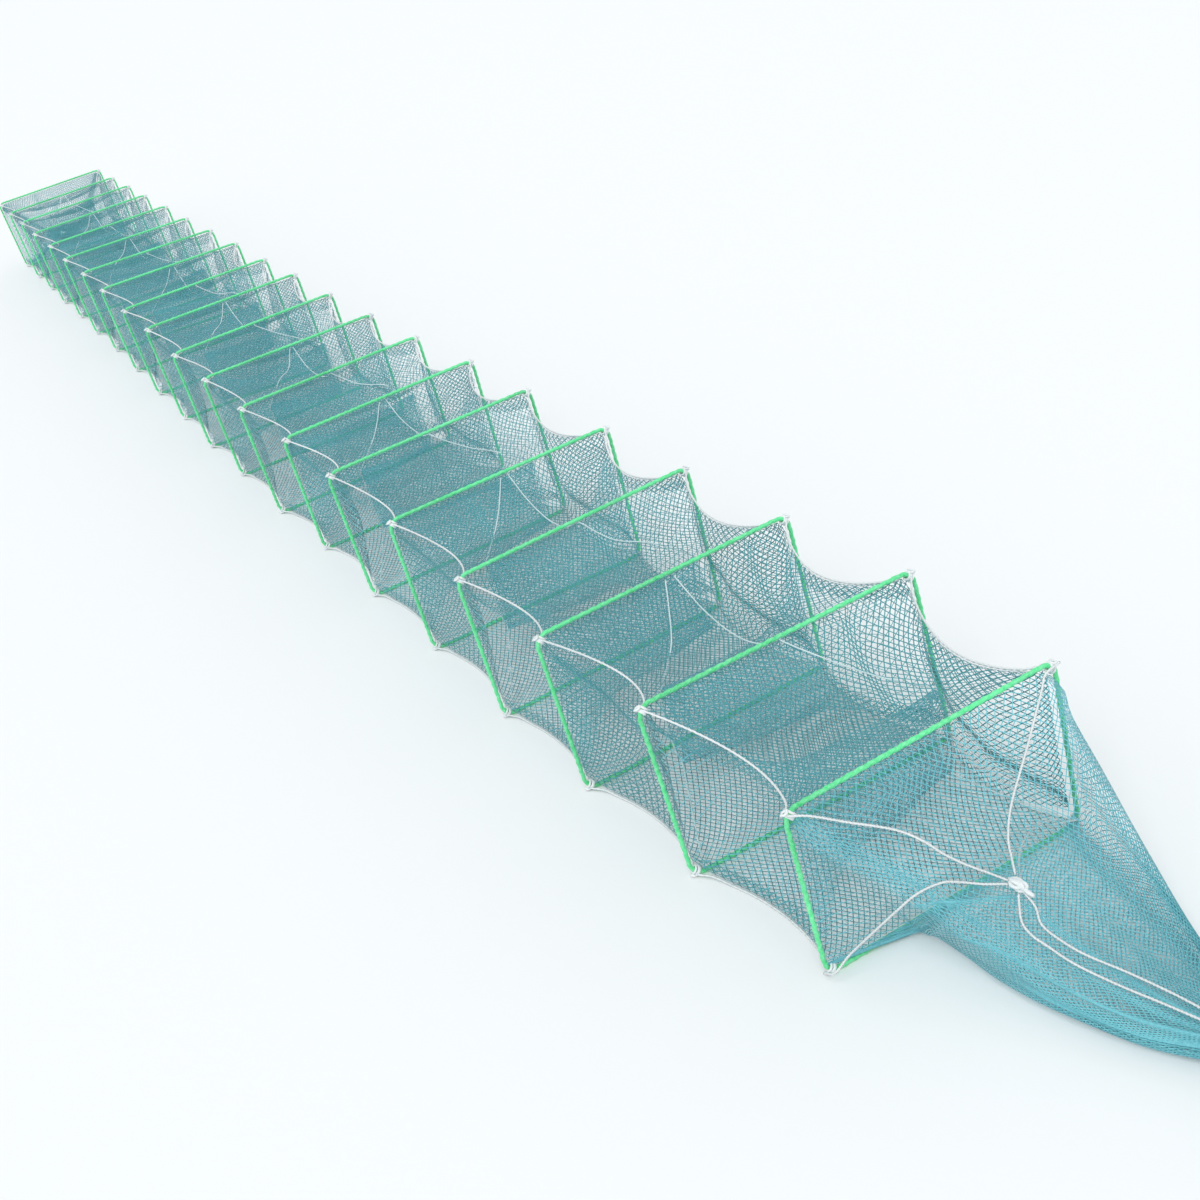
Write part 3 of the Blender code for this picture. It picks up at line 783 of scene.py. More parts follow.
def bunched_top(s, v):
    """Places on the top strip after its gathers: two slant across each space and one runs along it."""
    space, t = split_places(s)
    slackness = np.clip((space - 1) / 5, 0.15, 1.0)
    near_line = 0.30 + 0.10 * np.sin(1.7 * space) + 0.10 * v
    far_line = 0.74 + 0.08 * np.cos(2.3 * space) - 0.07 * v
    t = gather(t, near_line, NEAR_BUNCH[0], NEAR_BUNCH[1] * slackness)
    t = gather(t, far_line, FAR_BUNCH[0], FAR_BUNCH[1] * slackness)
    long_line = 0.55 * np.sin(1.3 * space + 0.6) + 0.35 * (t - 0.5)
    return space + np.clip(t, 0.0, 1.0), np.clip(gather(v, long_line, *LONG_BUNCH), -1.0, 1.0)


def top_surface(s, v):
    """The top strip: v runs from -1 at the left rope to 1 at the right one."""
    s, v = bunched_top(s, v)
    station = stations(s)
    u, bend, inner = across_strip(v, station.half_top)
    slack = TOP_SLACK + FAR_SLACK * np.clip((s - 3) / 6, 0, 1)
    waves = ripples(s, v, 3 + 3 * np.clip((s - 4) / 6, 0, 1), 0.4)
    drop = station.belly * station.hang * inner
    drop = drop + slack * station.hang * inner * waves
    return on_station(station, u, station.top - CORNER + CORNER * np.cos(bend) - drop)


def bottom_surface(s, v):
    """The bottom strip: v runs from -1 at the left rope to 1 at the right one."""
    station = stations(s)
    u, bend, _ = across_strip(v, station.half_bottom)
    return on_station(station, u, station.bottom + CORNER - CORNER * np.cos(bend))


# %% [markdown]
# ## The sides
#
# The sides draw in halfway up, and their slack gathers in one slanting fold from frame to frame. A
# side is left out where an inlet's mouth is, apart from the hems along the ropes, so the funnel that
# is sewn in there has a free opening.

# %% Side surfaces
CELLS_PER_SPACE = 20
SIDE_COLUMNS = 28
SIDE_HEM = 3.0                      # cells kept above and below a mouth
SIDE_FOLD_LOW = 0.10                # the slack gathers from low on the nearer frame
SIDE_FOLD_HIGH = 0.95               # to high on the farther one
SIDE_BUNCH = (0.22, 0.72)           # the width and strength of that fold
WIRE_BUNCH = (0.12, 0.60)           # and of the gather beside each wire
SIDE_RIPPLE = 0.0030


def side_point(side, station, k, fold=0.0):
    """A side strip between its two bends: k is 0 at the bottom and 1 at the top."""
    crown = 1 - (2 * k - 1) ** 2
    u = station.half_bottom + (station.half_top - station.half_bottom) * k
    u = u - station.side_draw * station.hang * 0.5 * crown
    v = station.bottom + CORNER + (station.top - station.bottom - 2 * CORNER) * k
    return on_station(station, side * (u + fold * crown * station.hang), v)


def side_surface(side, s, q):
    """A side strip: q runs from 0 at the lower rope to 1 at the upper one."""
    space, t = split_places(s)
    fold_line = SIDE_FOLD_LOW + (SIDE_FOLD_HIGH - SIDE_FOLD_LOW) * t
    q = np.clip(gather(q, fold_line, *SIDE_BUNCH), 0.0, 1.0)
    s = space + np.clip(gather(t, 0.04, *WIRE_BUNCH), 0.0, 1.0)
    station = stations(s)
    wall = station.top - station.bottom - 2 * CORNER
    reach = q * (wall + 2 * HEM)
    k = np.clip((reach - HEM) / wall, 0.0, 1.0)
    fold = SIDE_RIPPLE * ripples(s, 3.0 * q, 4, 1.9 + side)
    point = side_point(side, station, k, fold)
    low = np.maximum(HEM - reach, 0.0) / CORNER
    high = np.maximum(reach - HEM - wall, 0.0) / CORNER
    bend = low + high
    inward = side * CORNER * (1 - np.cos(bend))
    rise = CORNER * (np.sin(high) - np.sin(low))
    return point - station.across * inward[..., None] + station.up * rise[..., None]


def side_keep(side, first):
    """Cells of a side strip that aren't in an inlet's mouth."""
    def keep(a, b):
        space = first + np.floor(a / CELLS_PER_SPACE)
        mouth = np.where(space % 2 == 0, -1, 1) == side
        return ~mouth | (b < SIDE_HEM) | (b > SIDE_COLUMNS - SIDE_HEM)

    return keep


# %% [markdown]
# ## Knitting the sleeve
#
# Each strip is knitted from its own surface, and each side from two lengths that are joined about
# halfway. A net is cut from flat stock, of which only a share is twine: the rest is open mesh.

# %% Sleeve nets
STRIP_COLUMNS = 42                  # cells across the top and the bottom
SIDE_JOIN = 10                      # the two lengths of a side meet at this frame
TOP_SHARE = 0.34                    # how much of a net's flat size is twine
BOTTOM_SHARE = 0.30                 # the bottom's twine is thinner


def dress_sheet(net, node):
    """Hands the sheet over like any other piece; no flat size or twine share is given."""
    dress(net, node)


def make_top_and_bottom():
    rows = LAST * CELLS_PER_SPACE
    for name, surface, twine, share, held in (
            ("top", top_surface, TWINE, TOP_SHARE, "stretched"),
            ("bottom", bottom_surface, BOTTOM_TWINE, BOTTOM_SHARE, "laid")):
        net = knit(name + "_netting",
                   lambda a, b, surface=surface: surface(a / CELLS_PER_SPACE, 2 * b / STRIP_COLUMNS - 1),
                   rows, STRIP_COLUMNS, twine, FINISH["net_twine"])
        dress_sheet(net, "net_" + name)


def make_sides():
    for name, side in (("left", -1), ("right", 1)):
        for part, first, last in (("near", 0, SIDE_JOIN), ("far", SIDE_JOIN, LAST)):
            rows = (last - first) * CELLS_PER_SPACE
            net = knit(f"{name}_{part}_netting",
                       lambda a, b, side=side, first=first:
                       side_surface(side, first + a / CELLS_PER_SPACE, b / SIDE_COLUMNS),
                       rows, SIDE_COLUMNS, TWINE, FINISH["net_twine"], keep=side_keep(side, first))
            dress_sheet(net, f"net_{name}_{part}")


make_top_and_bottom()
make_sides()

# %% [markdown]
# ## The inlet funnels
#
# An inlet is a net funnel that starts at the whole side panel between two frames, narrows to a waist
# and ends in an upright slit most of the way across. Shrimp push in through the slit and can't find
# it again from inside. Its strands keep their number all the way, so the net gets denser towards the
# slit, which is what makes the funnels look like dark veils inside the trap.

# %% Inlets
SLIT_ACROSS = 0.55
SLIT_HALF_HEIGHT = 0.055
SLIT_HALF_GAP = 0.012
WAIST_PLACE = 0.55
WAIST_SCALE = 0.42
WAIST_HALF_LONG = 0.050
WAIST_HALF_HIGH = 0.052
SLIT_BUNCH = (0.14, 0.75)        # the strands draw together at the slit's hem
INLET_SAG = 0.010
INLET_PLEAT = 0.055
INLET_AROUND = 56
INLET_LONG = 24
INLET_TWINE = 0.00082


def mouth_rim(space, x):
    """The mouth's rim: x runs from 0 to 10, low edge, far edge, top edge and near edge."""
    side = inlet_side(space)
    x = np.mod(x, 10.0)
    t = np.clip(np.select([x < 3, x < 5, x < 8], [x / 3, 1.0 + 0 * x, (8 - x) / 3], 0.0), 0.0, 1.0)
    k = np.clip(np.select([x < 3, x < 5, x < 8], [0 * x, (x - 3) / 2, 1.0 + 0 * x], (10 - x) / 2), 0.0, 1.0)
    return side_point(side, stations(space + 0.012 + 0.976 * t), k)


def upright_ellipse(along, x, half_long, half_high):
    """An ellipse round the funnel's middle line, met at the same places x as the mouth's rim."""
    angle = 2 * np.pi * (x - 4) / 10
    return along * (half_long * np.cos(angle))[..., None] + SKYWARD * (half_high * np.sin(angle))[..., None]


def slit_middle(space, height):
    side = inlet_side(space)
    middle = stations(space + 0.5)
    return middle.foot - middle.across * side * SLIT_ACROSS * FRAME_WIDTH / 2 + middle.up * height


def funnel_surface(space, x, t):
    """An inlet's net: x goes round it and t from the mouth to the slit."""
    centre = mouth_rim(space, np.arange(0.0, 10.0, 0.5)).mean(axis=0)
    low_near, low_far = mouth_rim(space, np.array([0.0, 3.0]))
    along = unit(low_far - low_near)
    rim = mouth_rim(space, x) - centre
    waist = upright_ellipse(along, x, WAIST_HALF_LONG, WAIST_HALF_HIGH)
    slit = upright_ellipse(along, x, SLIT_HALF_GAP, SLIT_HALF_HEIGHT)
    t = np.clip(gather(np.clip(t, 0.0, 1.0), 1.0, *SLIT_BUNCH), 0.0, 1.0)
    early = np.clip(t / WAIST_PLACE, 0.0, 1.0)
    late = ease(np.clip((t - WAIST_PLACE) / (1 - WAIST_PLACE), 0.0, 1.0))[..., None]
    soft = ease(early)[..., None]
    scale = 1 - (1 - WAIST_SCALE) * (1 - (1 - early) ** 1.7)
    ring = (rim * scale[..., None] * (1 - soft) + waist * soft) * (1 - late) + slit * late
    pleat = 1 + INLET_PLEAT * np.sin(2 * np.pi * x * 1.3 + space) * np.sin(np.pi * t) ** 0.5
    sag = SKYWARD * -INLET_SAG * (np.sin(np.pi * t))[..., None]
    way = slit_middle(space, centre[2]) - centre
    return centre + way * t[..., None] + ring * pleat[..., None] + sag


def make_inlets():
    for space in range(LAST):
        # The funnels get the lightened twine, painted light against the shade inside the trap.
        net = knit(f"inlet_netting_{space + 1:02d}",
                   lambda a, b, space=space: funnel_surface(space, 10 * b / INLET_AROUND, a / INLET_LONG),
                   INLET_LONG, INLET_AROUND, INLET_TWINE, FINISH["twine_lightened_for_shade"], closed=True)
        dress_sheet(net, f"inlet_{space + 1:02d}")


make_inlets()

# %% [markdown]
# ## The strings that hold the slits
#
# A funnel keeps its shape because a thin string pulls it taut. The string starts at the nearer frame's
# bottom corner across from the mouth, threads up along the slit's edge and through the top net, and
# ends at the middle of the farther frame's top wire. Every second string goes on to one frame more.

# %% Hold strings
STRING_RADIUS = 0.0011
STRING_LAY = 0.009
STRING_STEP = 0.0028
STRING_LIFT = 0.0006             # how far a string lies above the top net's strands
SLIT_PLACES = np.array([1.5, 2.75, 4.0, 5.25, 6.5])
OWN_SPACE = ((0.60, -0.060), (0.80, -0.030), (0.985, -0.002))     # how far on, and how far across
NEXT_SPACE = (0.02, 0.25, 0.5, 0.75, 0.985)


def over_top(s, u):
    """A place just over the top net."""
    station = stations(s)
    return top_surface(np.asarray(s), u / station.half_top) + station.up * (STRING_RADIUS + STRING_LIFT)


def string_route(space):
    side = inlet_side(space)
    spots = funnel_surface(space, SLIT_PLACES, np.ones(len(SLIT_PLACES)))
    near = stations(float(space))
    half = FRAME_WIDTH / 2 * near.size - WIRE_REST - FRAME_CORNER
    start = on_station(near, -side * half, WIRE_REST + FRAME_CORNER, 0.008)
    middle = (start + spots[0]) / 2 - np.array((0.0, 0.0, 0.004))
    route = [start, middle, *spots]
    route += [over_top(space + t, side * u) for t, u in OWN_SPACE]
    if side < 0 and space + 2 <= LAST:
        route += [over_top(space + 1 + t, 0.004 + 0.006 * t) for t in NEXT_SPACE]
    return np.array(route)


def make_hold_strings():
    for space in range(LAST):
        path = even_path(smooth_route(string_route(space), steps=8), STRING_STEP)
        string = twisted_cord(f"hold_string_{space + 1:02d}", path, STRING_RADIUS, STRING_LAY,
                              FINISH["hold_string"])
        dress(string)


make_hold_strings()

# %% [markdown]
# ## The corner ropes
#
# A rope runs along each corner seam from the near frame to the far one. It draws in and sags with the
# net, and at every frame it rises over the wire's corner, where a knot binds the two.

# %% Corner ropes
ROPE_STEP = 0.0027
ROPE_LAY = 0.022
ROPE_GAP = 0.0004          # between the net and the rope that lies beside it
OVER_WIRE = 0.0062         # how much further out the rope lies where it crosses a wire
RISE_LENGTH = 0.014
SPACING = 0.2335           # from frame to frame, on average
FLOOR_LIFT = 0.0002        # what lies on the floor stays just above it
CORNERS = (("top_left", -1, True), ("top_right", 1, True),
           ("bottom_left", -1, False), ("bottom_right", 1, False))


def rope_line(side, upper, s):
    station = stations(s)
    off = np.abs(s - np.round(s)) * SPACING
    beside = NET_WALL / 2 + ROPE_RADIUS + ROPE_GAP + OVER_WIRE * np.exp(-(off / RISE_LENGTH) ** 2)
    u = (station.half_top if upper else station.half_bottom) - CORNER + (CORNER + beside) * SLANT
    if upper:
        v = station.top - CORNER + (CORNER + beside) * SLANT
    else:
        v = np.maximum(station.bottom + CORNER - (CORNER + beside) * SLANT, ROPE_RADIUS + FLOOR_LIFT)
    return on_station(station, side * u, v)


def make_corner_ropes():
    s = np.linspace(0.0, LAST, LAST * 60 + 1)
    for corner, side, upper in CORNERS:
        name = "rope_" + corner
        path = even_path(rope_line(side, upper, s), ROPE_STEP)
        rope = twisted_cord(name + "_laid", path, ROPE_RADIUS, ROPE_LAY, FINISH["white_rope"])
        dress(rope, name)
        print(name, round(path_length(path), 2), "m", len(rope.data.polygons), "faces")


make_corner_ropes()

# %% [markdown]
# ## The knots on the frames
#
# A knot is three turns of rope round the frame's corner, a crossing turn on the outside and two short
# ends. It is modelled once, at the origin, from torus and cylinder shapes that are tilted across each
# other and joined into one object.

# %% One knot
KNOT_CORD = 0.00135
KNOT_TURN = 0.0044
KNOT_ROUNDS = ((-0.0026, 0.16), (0.0, -0.10), (0.0026, 0.14))     # how high along the wire, and the tilt
KNOT_ENDS = ((0.7, 0.5), (-0.9, -0.4))


def join_up(pieces):
    """One object from several, with its place and turn taken into the mesh."""
    bpy.ops.object.select_all(action="DESELECT")
    for piece in pieces:
        piece.select_set(True)
    bpy.context.view_layer.objects.active = pieces[0]
    bpy.ops.object.join()
    joined = bpy.context.object
    bpy.ops.object.transform_apply(location=True, rotation=True, scale=True)
    return joined


def knot_model():
    """One knot at the origin: X points outwards, Y along the chain and Z along the wire."""
    bpy.ops.object.select_all(action="DESELECT")
    turns = []
    for rise, tip in KNOT_ROUNDS:
        bpy.ops.mesh.primitive_torus_add(major_segments=12, minor_segments=5, major_radius=KNOT_TURN,
                                         minor_radius=KNOT_CORD, location=(-0.0015, 0.0, rise),
                                         rotation=(tip, -tip * 0.7, 0.0))
        turns.append(bpy.context.object)
    bpy.ops.mesh.primitive_torus_add(major_segments=10, minor_segments=5, major_radius=0.0030,
                                     minor_radius=KNOT_CORD, location=(0.0052, 0.0, 0.0),
                                     rotation=(0.25, math.radians(62), 0.1))
    turns.append(bpy.context.object)
    for tip, spin in KNOT_ENDS:
        bpy.ops.mesh.primitive_cylinder_add(vertices=6, radius=KNOT_CORD * 0.8, depth=0.0050,
                                            location=(0.0050, 0.004 * spin, 0.0034 * tip),
                                            rotation=(spin, math.radians(60) - tip, 0.0))
        turns.append(bpy.context.object)
    return join_up(turns)


# %% [markdown]
# ## A knot at every corner
#
# The one knot is set at every corner of every frame by a matrix, and the copies along one rope become
# one mesh. A knot at the bottom is pressed flat where it meets the floor.

# %% Knots along the ropes
def knot_matrix(number, side, upper):
    """From the knot at the origin to its place on a frame's corner."""
    station = stations(float(number))
    half = FRAME_WIDTH / 2 * SIZES[number] - FRAME_CORNER
    level = (FRAME_HEIGHT * SIZES[number] - FRAME_CORNER) if upper else FRAME_CORNER
    up = 1 if upper else -1
    outward = station.across * side * SLANT + station.up * up * SLANT
    wire = -station.across * side * SLANT + station.up * up * SLANT
    along = np.cross(wire, outward)
    place = on_station(station, side * half, WIRE_REST + level) + outward * FRAME_CORNER
    turn = Matrix((outward, along, wire)).transposed().to_4x4()
    return Matrix.Translation(place) @ turn


def copies(name, model, matrices, material):
    """One mesh with a copy of the model for each matrix, kept above the floor."""
    base = np.array([vert.co for vert in model.data.vertices])
    faces = [list(face.vertices) for face in model.data.polygons]
    points, polygons = [], []
    for index, matrix in enumerate(matrices):
        turn = np.array(matrix)
        points.append(base @ turn[:3, :3].T + turn[:3, 3])
        polygons += [[corner + index * len(base) for corner in face] for face in faces]
    points = np.concatenate(points)
    points[:, 2] = np.maximum(points[:, 2], FLOOR_LIFT)
    mesh = bpy.data.meshes.new(name)
    mesh.from_pydata(points.tolist(), [], polygons)
    mesh.shade_smooth()
    mesh.materials.append(material)
    return add_object(name, mesh)


def make_knots():
    model = knot_model()
    for name, side, upper in CORNERS:
        places = [knot_matrix(number, side, upper) for number in range(len(FRAMES))]
        knots = copies(name + "_knots", model, places, FINISH["white_rope"])
        dress(knots)
        print(knots.name, len(knots.data.polygons), "faces")
    bpy.data.objects.remove(model)


make_knots()

# %% [markdown]
# ## The tails
#
# Past each end frame the net goes on as a slack tail that falls to the ground, is gathered in pleats
# and tied. Its shape is a table of rings, the same as the solid's, with a smooth surface drawn through
# them. A gathered net folds, so each tail has a few heavy folds. A row of their table says at which
# rings a fold runs, at which places round them, how wide it is, how close its strands lie and how far
# it stands up. The near tail's first row has strengths below zero, one for each ring: there the net is
# spread smooth.

# %% The tails' tables
TailRing = namedtuple("TailRing", "out left right top_left top_right under gathered tuck")
NEAR_TAIL = [TailRing(*row) for row in (
    (0.012, -0.087, 0.221, 0.190, 0.192, 0.0012, 0.0, 0.080),
    (0.030, -0.070, 0.212, 0.172, 0.176, 0.0012, 0.0, 0.072),
    (0.075, -0.030, 0.204, 0.128, 0.140, 0.0008, 0.0, 0.038),
    (0.125, 0.002, 0.198, 0.084, 0.088, 0.0008, 0.0, 0.010),
    (0.185, 0.018, 0.192, 0.056, 0.044, 0.0008, 0.1, 0.0),
    (0.255, 0.036, 0.172, 0.046, 0.036, 0.0008, 0.3, 0.0),
    (0.315, 0.075, 0.135, 0.040, 0.036, 0.0030, 0.8, 0.0),
    (0.340, 0.090, 0.120, 0.040, 0.040, 0.0060, 1.0, 0.0),
    (0.358, 0.090, 0.120, 0.040, 0.040, 0.0060, 1.0, 0.0),
    (0.385, 0.070, 0.140, 0.040, 0.038, 0.0030, 0.7, 0.0),
    (0.440, 0.040, 0.178, 0.036, 0.030, 0.0008, 0.3, 0.0),
)]
FAR_TAIL = [TailRing(*row) for row in (
    (0.050, -0.190, 0.095, 0.176, 0.170, 0.0012, 0.0, 0.0),
    (0.130, -0.140, 0.055, 0.092, 0.086, 0.0008, 0.2, 0.0),
    (0.215, -0.080, -0.014, 0.042, 0.040, 0.0030, 0.7, 0.0),
    (0.248, -0.061, -0.031, 0.040, 0.040, 0.0060, 1.0, 0.0),
    (0.266, -0.061, -0.031, 0.040, 0.040, 0.0060, 1.0, 0.0),
    (0.335, -0.106, 0.012, 0.034, 0.030, 0.0008, 0.3, 0.0),
)]
Fold = namedtuple("Fold", "rings places width strength rise")
NEAR_FOLDS = [
    Fold((0.0, 1.0, 2.2, 2.8), (7.0, 7.0, 7.0, 7.0), 1.6, (-0.85, -0.85, -0.40, 0.0), 0.0),
    Fold((0.0, 2.0, 5.0, 7.0), (19.2, 18.9, 18.5, 18.5), 1.20, 0.58, 0.0),
    Fold((1.0, 2.0, 3.0, 3.4, 3.8, 5.0, 7.0), (10.4, 9.4, 8.0, 6.3, 5.2, 5.0, 5.0), 0.50, 0.74, 0.005),
    Fold((1.0, 2.0, 3.0, 4.0, 5.0, 7.0), (11.0, 10.2, 9.0, 7.4, 7.0, 6.5), 0.45, 0.66, 0.004),
]
FAR_FOLDS = [
    Fold((0.0, 3.0), (2.0, 1.0), 0.7, 0.55, 0.003),
    Fold((0.0, 3.0), (7.5, 9.0), 0.7, 0.55, 0.003),
]
Tail = namedtuple("Tail", "name number rings folds direction long")
TAILS = [
    Tail("near", 0, NEAR_TAIL, NEAR_FOLDS, -1, 72),
    Tail("far", LAST, FAR_TAIL, FAR_FOLDS, 1, 48),
]

# %% [markdown]
# ## One ring of a tail
#
# At the frame a ring is a rounded box, and at the neck it is a small circle. The table says how far
# each ring has gone from one to the other. Every ring has twenty points, three at each corner and
# eight between the corners, so the rings can be joined point to point.

# %% Rings
TAIL_CORNER = 0.022
NECK_RADIUS = 0.0155
NECK_PLEAT = 0.0022


def tail_corners(ring):
    """The rounded corners of a tail's ring, three points each, from the top right one on."""
    heights = {-1: ring.top_left, 1: ring.top_right}
    corners = []
    for sx, sz, start in ((1, 1, 0), (-1, 1, 90), (-1, -1, 180), (1, -1, 270)):
        edge = ring.right if sx > 0 else ring.left
        if (sx, sz) == (-1, -1):
            edge += ring.tuck
        top = heights[sx]
        radius = min(TAIL_CORNER, (top - ring.under) / 2.2, (ring.right - ring.left) / 2.2)
        level = top - radius if sz > 0 else ring.under + radius
        angles = [math.radians(start + degrees) for degrees in (0, 45, 90)]
        corners.append([(edge - sx * radius + radius * math.cos(angle), level + radius * math.sin(angle))
                        for angle in angles])
    return corners


def box_loop(ring):
    """The whole ring: its corners, with three points between them above and below and one at each side."""
    corners = tail_corners(ring)
    loop = []
    for index, corner in enumerate(corners):
        x, z = corner[-1]
        next_x, next_z = corners[(index + 1) % 4][0]
        loop += corner
        spread = 3 if index in (0, 2) else 1
        for step in range(1, spread + 1):
            t = step / (spread + 1)
            loop.append((x + (next_x - x) * t, z + (next_z - z) * t))
    return loop


def tail_loop(ring, along):
    """One ring of a tail: a rounded box that leans, drawn towards a pleated neck as it is gathered."""
    centre_x = (ring.left + ring.right) / 2
    loop = box_loop(ring)
    points = []
    for index, (x, z) in enumerate(loop):
        angle = 2 * math.pi * (index - 0.5) / len(loop)
        neck_x = centre_x + NECK_RADIUS * math.cos(angle)
        neck_z = ring.under + NECK_RADIUS + NECK_PLEAT + NECK_RADIUS * math.sin(angle)
        blend = ring.gathered
        points.append((x + (neck_x - x) * blend, along, z + (neck_z - z) * blend))
    return np.array(points)


def end_loop(number, out):
    """The tail's first ring, inside the end frame."""
    station = stations(float(number))
    half = FRAME_WIDTH / 2 * SIZES[number] - INSIDE
    top = WIRE_REST + FRAME_HEIGHT * SIZES[number] - INSIDE
    ring = TailRing(0.0, -half, half, top, top, INSIDE + WIRE_REST + FLOOR_PLAY, 0.0, 0.0)
    loop = tail_loop(ring, 0.0)
    return on_station(station, loop[:, 0], loop[:, 2], out)


# %% [markdown]
# ## A smooth surface through the rings
#
# The rings are far apart, so flat faces between them would look folded from paper. The curve that
# smooths a cord's route serves here twice: round the rings, and then from ring to ring.

# %% Surface through the rings
def curve_through(values, place, closed=False):
    """The four rows of values round each fractional place, and how far it lies past the second."""
    count = len(values)
    place = np.asarray(place, float)
    if not closed:
        place = np.clip(place, 0.0, count - 1.000001)
    start = np.floor(place).astype(int)
    t = (place - start)[..., None]
    picks = []
    for offset in (-1, 0, 1, 2):
        index = start + offset
        picks.append(np.mod(index, count) if closed else np.clip(index, 0, count - 1))
    return picks, t


def patch_surface(grid, i, j):
    """A smooth point on a grid of rings, at ring i and place j round it."""
    rings, ti = curve_through(grid, i)
    spots, tj = curve_through(grid[0], j, closed=True)
    rows = []
    for ring in rings:
        rows.append(blend_four(*[grid[ring, spot] for spot in spots], tj))
    return blend_four(*rows, ti)


def tail_grid(tail):
    """All the rings' points. The far tail's run the other way round, so that its faces point out too."""
    grid = [end_loop(tail.number, tail.direction * (NET_WALL + GAP))]
    for ring in tail.rings:
        loop = tail_loop(ring, FRAMES[tail.number].along + tail.direction * ring.out)
        grid.append(loop + SHIFT)
    grid = np.array(grid)
    return grid[:, ::-1] if tail.direction > 0 else grid


# %% [markdown]
# ## Folds and pleats
#
# A fold draws the strands together on the surface and lifts it a little. The pleats are fine waves
# pressed inwards. They get deeper away from the frame, but never take more than a share of the way to
# the middle, or the neck would turn inside out.

# %% Folds and pleats
TAIL_LOW = 0.0009           # no strand comes nearer to the floor
PLEAT_START = 0.0015        # how deep the pleats are at the frame, and how much deeper they get
PLEAT_MORE = 0.006
PLEAT_LIMIT = 0.25          # their largest share of the way to the middle


def folded_places(folds, round_it, i, j):
    """Places j after the folds at the rings i, and how far the net stands up there."""
    rise = 0.0
    for fold in folds:
        line = np.interp(i, fold.rings, fold.places)
        off = np.mod(j - line + round_it / 2, round_it) - round_it / 2
        strength = np.interp(i, fold.rings, np.broadcast_to(fold.strength, len(fold.rings)))
        off = gather(off, 0.0, fold.width, strength)
        rise = rise + fold.rise * np.exp(-(off / fold.width * 1.6) ** 2)
        j = off + line
    return j, rise


def pleats(round_it, i, j):
    """Uneven lengthwise waves from 0 to 1 round a tail."""
    around = 2 * np.pi * j / round_it
    fine = 0.5 + 0.5 * np.sin(17 * around + 1.3 * np.sin(2 * around + i))
    broad = 0.6 + 0.4 * np.sin(5 * around + 0.8 * i)
    return np.clip(fine * broad, 0, 1)


def tail_surface(grid, depths, folds, i, j):
    """The grid's smooth surface, gathered along its folds, with pleats pressed in."""
    round_it = grid.shape[1]
    j, rise = folded_places(folds, round_it, i, j)
    point = patch_surface(grid, i, j)
    ring_centre, t = curve_through(grid, i)
    centres = grid.mean(axis=1)
    centre = blend_four(*[centres[ring] for ring in ring_centre], t)
    inward = centre - point
    inward[..., 1] = 0.0
    radius = np.linalg.norm(inward, axis=-1)
    depth = np.interp(i, np.arange(len(depths)), depths)
    pressed = np.minimum(depth * pleats(round_it, i, j), PLEAT_LIMIT * radius)
    moved = point + unit(inward) * (pressed - rise)[..., None]
    moved[..., 2] = np.maximum(moved[..., 2], TAIL_LOW)
    return moved


def pleat_depth(ring):
    """Deeper away from the frame, and a little less where the net is tied."""
    return PLEAT_START + PLEAT_MORE * min(1.0, 4 * ring.out) * (1 - 0.4 * ring.gathered)


# %% [markdown]
# ## Knitting the tails
#
# A tail is knitted in the round, like an inlet. Its rows are spread evenly over its reach, so the
# diamonds keep their length while they get narrower towards the neck.

# %% Tail nets
TAIL_AROUND = 132
TAIL_TWINE = 0.00095


def make_tails():
    for tail in TAILS:
        grid = tail_grid(tail)
        depths = [0.0] + [pleat_depth(ring) for ring in tail.rings]
        reach = [0.0] + [ring.out for ring in tail.rings]

        def surface(a, b, tail=tail, grid=grid, depths=depths, reach=reach):
            i = np.interp(a / tail.long * reach[-1], reach, np.arange(len(reach)))
            return tail_surface(grid, depths, tail.folds, i, b * grid.shape[1] / TAIL_AROUND)

        # The tails take the same lightened twine as the funnels.
        net = knit(tail.name + "_tail_netting", surface, tail.long, TAIL_AROUND, TAIL_TWINE,
                   FINISH["twine_lightened_for_shade"], closed=True)
        dress_sheet(net, "tail_" + tail.name)


make_tails()

# %% [markdown]
# ## The ties round the necks
#
# Each tail is closed by a rope wound over two and a half times round its neck. It is a helix whose
# points come from the sine and the cosine of one growing angle, laid like every other cord here.

# %% Ties round the necks
TIE_TURNS = 2.6
TIE_START = 0.9             # the angle at which the winding starts
TIE_POINTS = 90
TIE_RADIUS = 0.0020
TIE_HALF_WIDE = 0.0042
TIE_LAY = 0.014
TIE_STEP = 0.0016


def make_ties():
    for tail in TAILS:
        neck, neck_end = [ring for ring in tail.rings if ring.gathered == 1.0]
        centre_x = (neck.left + neck.right) / 2
        along = FRAMES[tail.number].along + tail.direction * (neck.out + neck_end.out) / 2
        centre_z = neck.under + NECK_RADIUS + NECK_PLEAT
        radius = NECK_RADIUS + NECK_PLEAT + NET_WALL + GAP + TIE_RADIUS * 0.8
        turn = np.linspace(0.0, 2 * np.pi * TIE_TURNS, TIE_POINTS) + TIE_START
        path = np.stack([centre_x + radius * np.cos(turn),
                         along + tail.direction * TIE_HALF_WIDE * (turn / turn[-1] - 0.5) * 2,
                         centre_z + radius * np.sin(turn)], axis=-1) + SHIFT
        tie = twisted_cord(tail.name + "_tail_tie", even_path(path, TIE_STEP), TIE_RADIUS * 0.9,
                           TIE_LAY, FINISH["white_rope"])
        dress(tie, "tie_" + tail.name)
        print(tie.name, len(tie.data.polygons), "faces")


make_ties()

# %% [markdown]
# ## The bridle's knot
#
# The four cords and the two hauling lines are tied in one fat overhand knot. It is made of a few
# rope turns in different planes round one centre, so the lines seem to run into it from all sides.

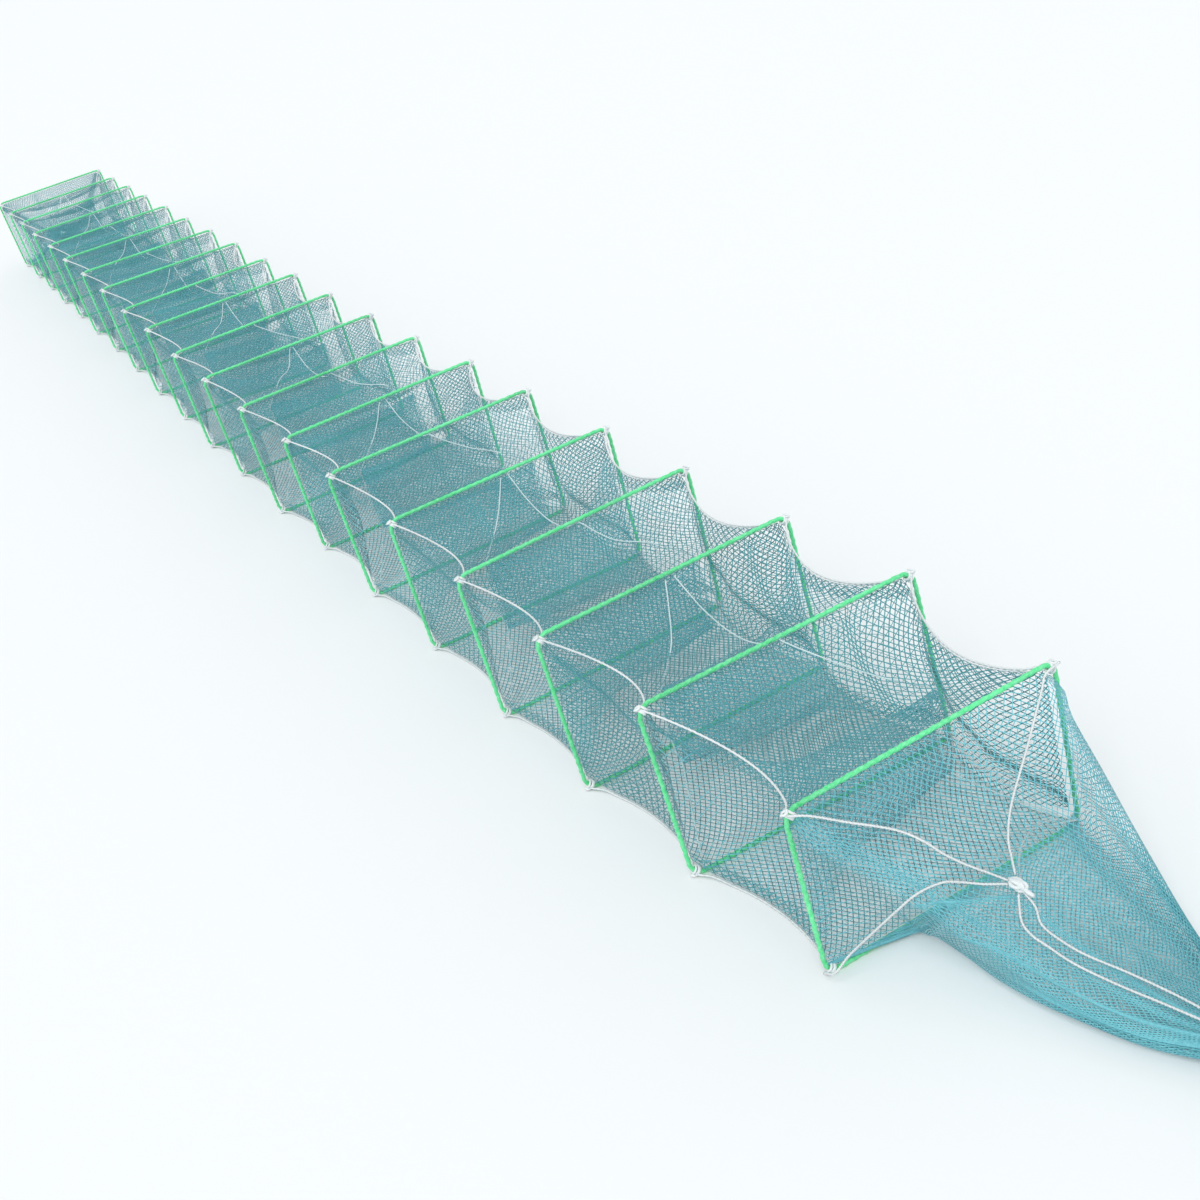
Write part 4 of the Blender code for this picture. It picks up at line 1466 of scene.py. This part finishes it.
# %% Bridle knot
BRIDLE_TURN = 0.0052
BRIDLE_TURN_CORD = 0.0018
BRIDLE_SQUASH = (1.15, 1.15, 0.85)
KnotTurn = namedtuple("KnotTurn", "tilt roll size back")
KNOT_TURNS = [KnotTurn(*row) for row in (
    (0.3, 0.2, 1.00, -0.001), (1.35, 0.4, 0.95, 0.000), (0.9, 1.7, 0.90, 0.001),
    (-0.6, 0.9, 0.85, -0.002), (2.2, -0.5, 0.80, 0.003), (1.1, 0.6, 0.62, 0.008),
    (0.2, 1.2, 0.58, 0.010),
)]


def make_bridle_knot():
    bpy.ops.object.select_all(action="DESELECT")
    turns = []
    for row in KNOT_TURNS:
        bpy.ops.mesh.primitive_torus_add(major_segments=26, minor_segments=8,
                                         major_radius=BRIDLE_TURN * row.size,
                                         minor_radius=BRIDLE_TURN_CORD,
                                         location=(0.3 * row.back, -row.back, -0.7 * row.back),
                                         rotation=(row.tilt, row.roll, row.tilt))
        turns.append(bpy.context.object)
    knot = join_up(turns)
    for vert in knot.data.vertices:
        vert.co = [part * squash for part, squash in zip(vert.co, BRIDLE_SQUASH)]
    knot.data.transform(Matrix.Translation(BRIDLE_KNOT))
    knot.name = "bridle_knot_tied"
    knot.data.shade_smooth()
    knot.data.materials.append(FINISH["white_rope"])
    dress(knot, "bridle_knot")
    print(knot.name, len(knot.data.polygons), "faces")


make_bridle_knot()

# %% [markdown]
# ## Floor and light
#
# The trap lies on a plain pale floor in soft, even light: a bright sky all round and one wide soft
# sun, so the net throws only a faint shadow and every part of the long chain gets the same light.
# Blender's usual view softens strong colours. The standard view keeps the tape as green as it is.

# %% Floor and light
FLOOR_COLOUR = (0.86, 0.87, 0.87, 1.0)
SKY_COLOUR = (0.93, 0.97, 1.0, 1.0)
SKY_STRENGTH = 0.78
SUN_STRENGTH = 1.5
SUN_SPREAD = math.radians(35)
SUN_TURN = (math.radians(28), math.radians(-24), 0.0)


def make_floor():
    bpy.ops.mesh.primitive_plane_add(size=60.0, location=(0.0, 0.0, -0.0002))
    floor = bpy.context.object
    floor.name = "studio_floor"
    material, shader = new_material("studio_floor")
    shader.inputs["Base Color"].default_value = FLOOR_COLOUR
    shader.inputs["Roughness"].default_value = 0.9
    floor.data.materials.append(material)


def make_light():
    world = bpy.data.worlds.new("soft_sky")
    world.use_nodes = True
    sky = world.node_tree.nodes["Background"]
    sky.inputs["Color"].default_value = SKY_COLOUR
    sky.inputs["Strength"].default_value = SKY_STRENGTH
    bpy.context.scene.world = world
    bpy.context.scene.view_settings.view_transform = "Standard"
    bpy.ops.object.light_add(type="SUN", rotation=SUN_TURN)
    sun = bpy.context.object
    sun.data.energy = SUN_STRENGTH
    sun.data.angle = SUN_SPREAD


make_floor()
make_light()
print("the floor and the light are in place")
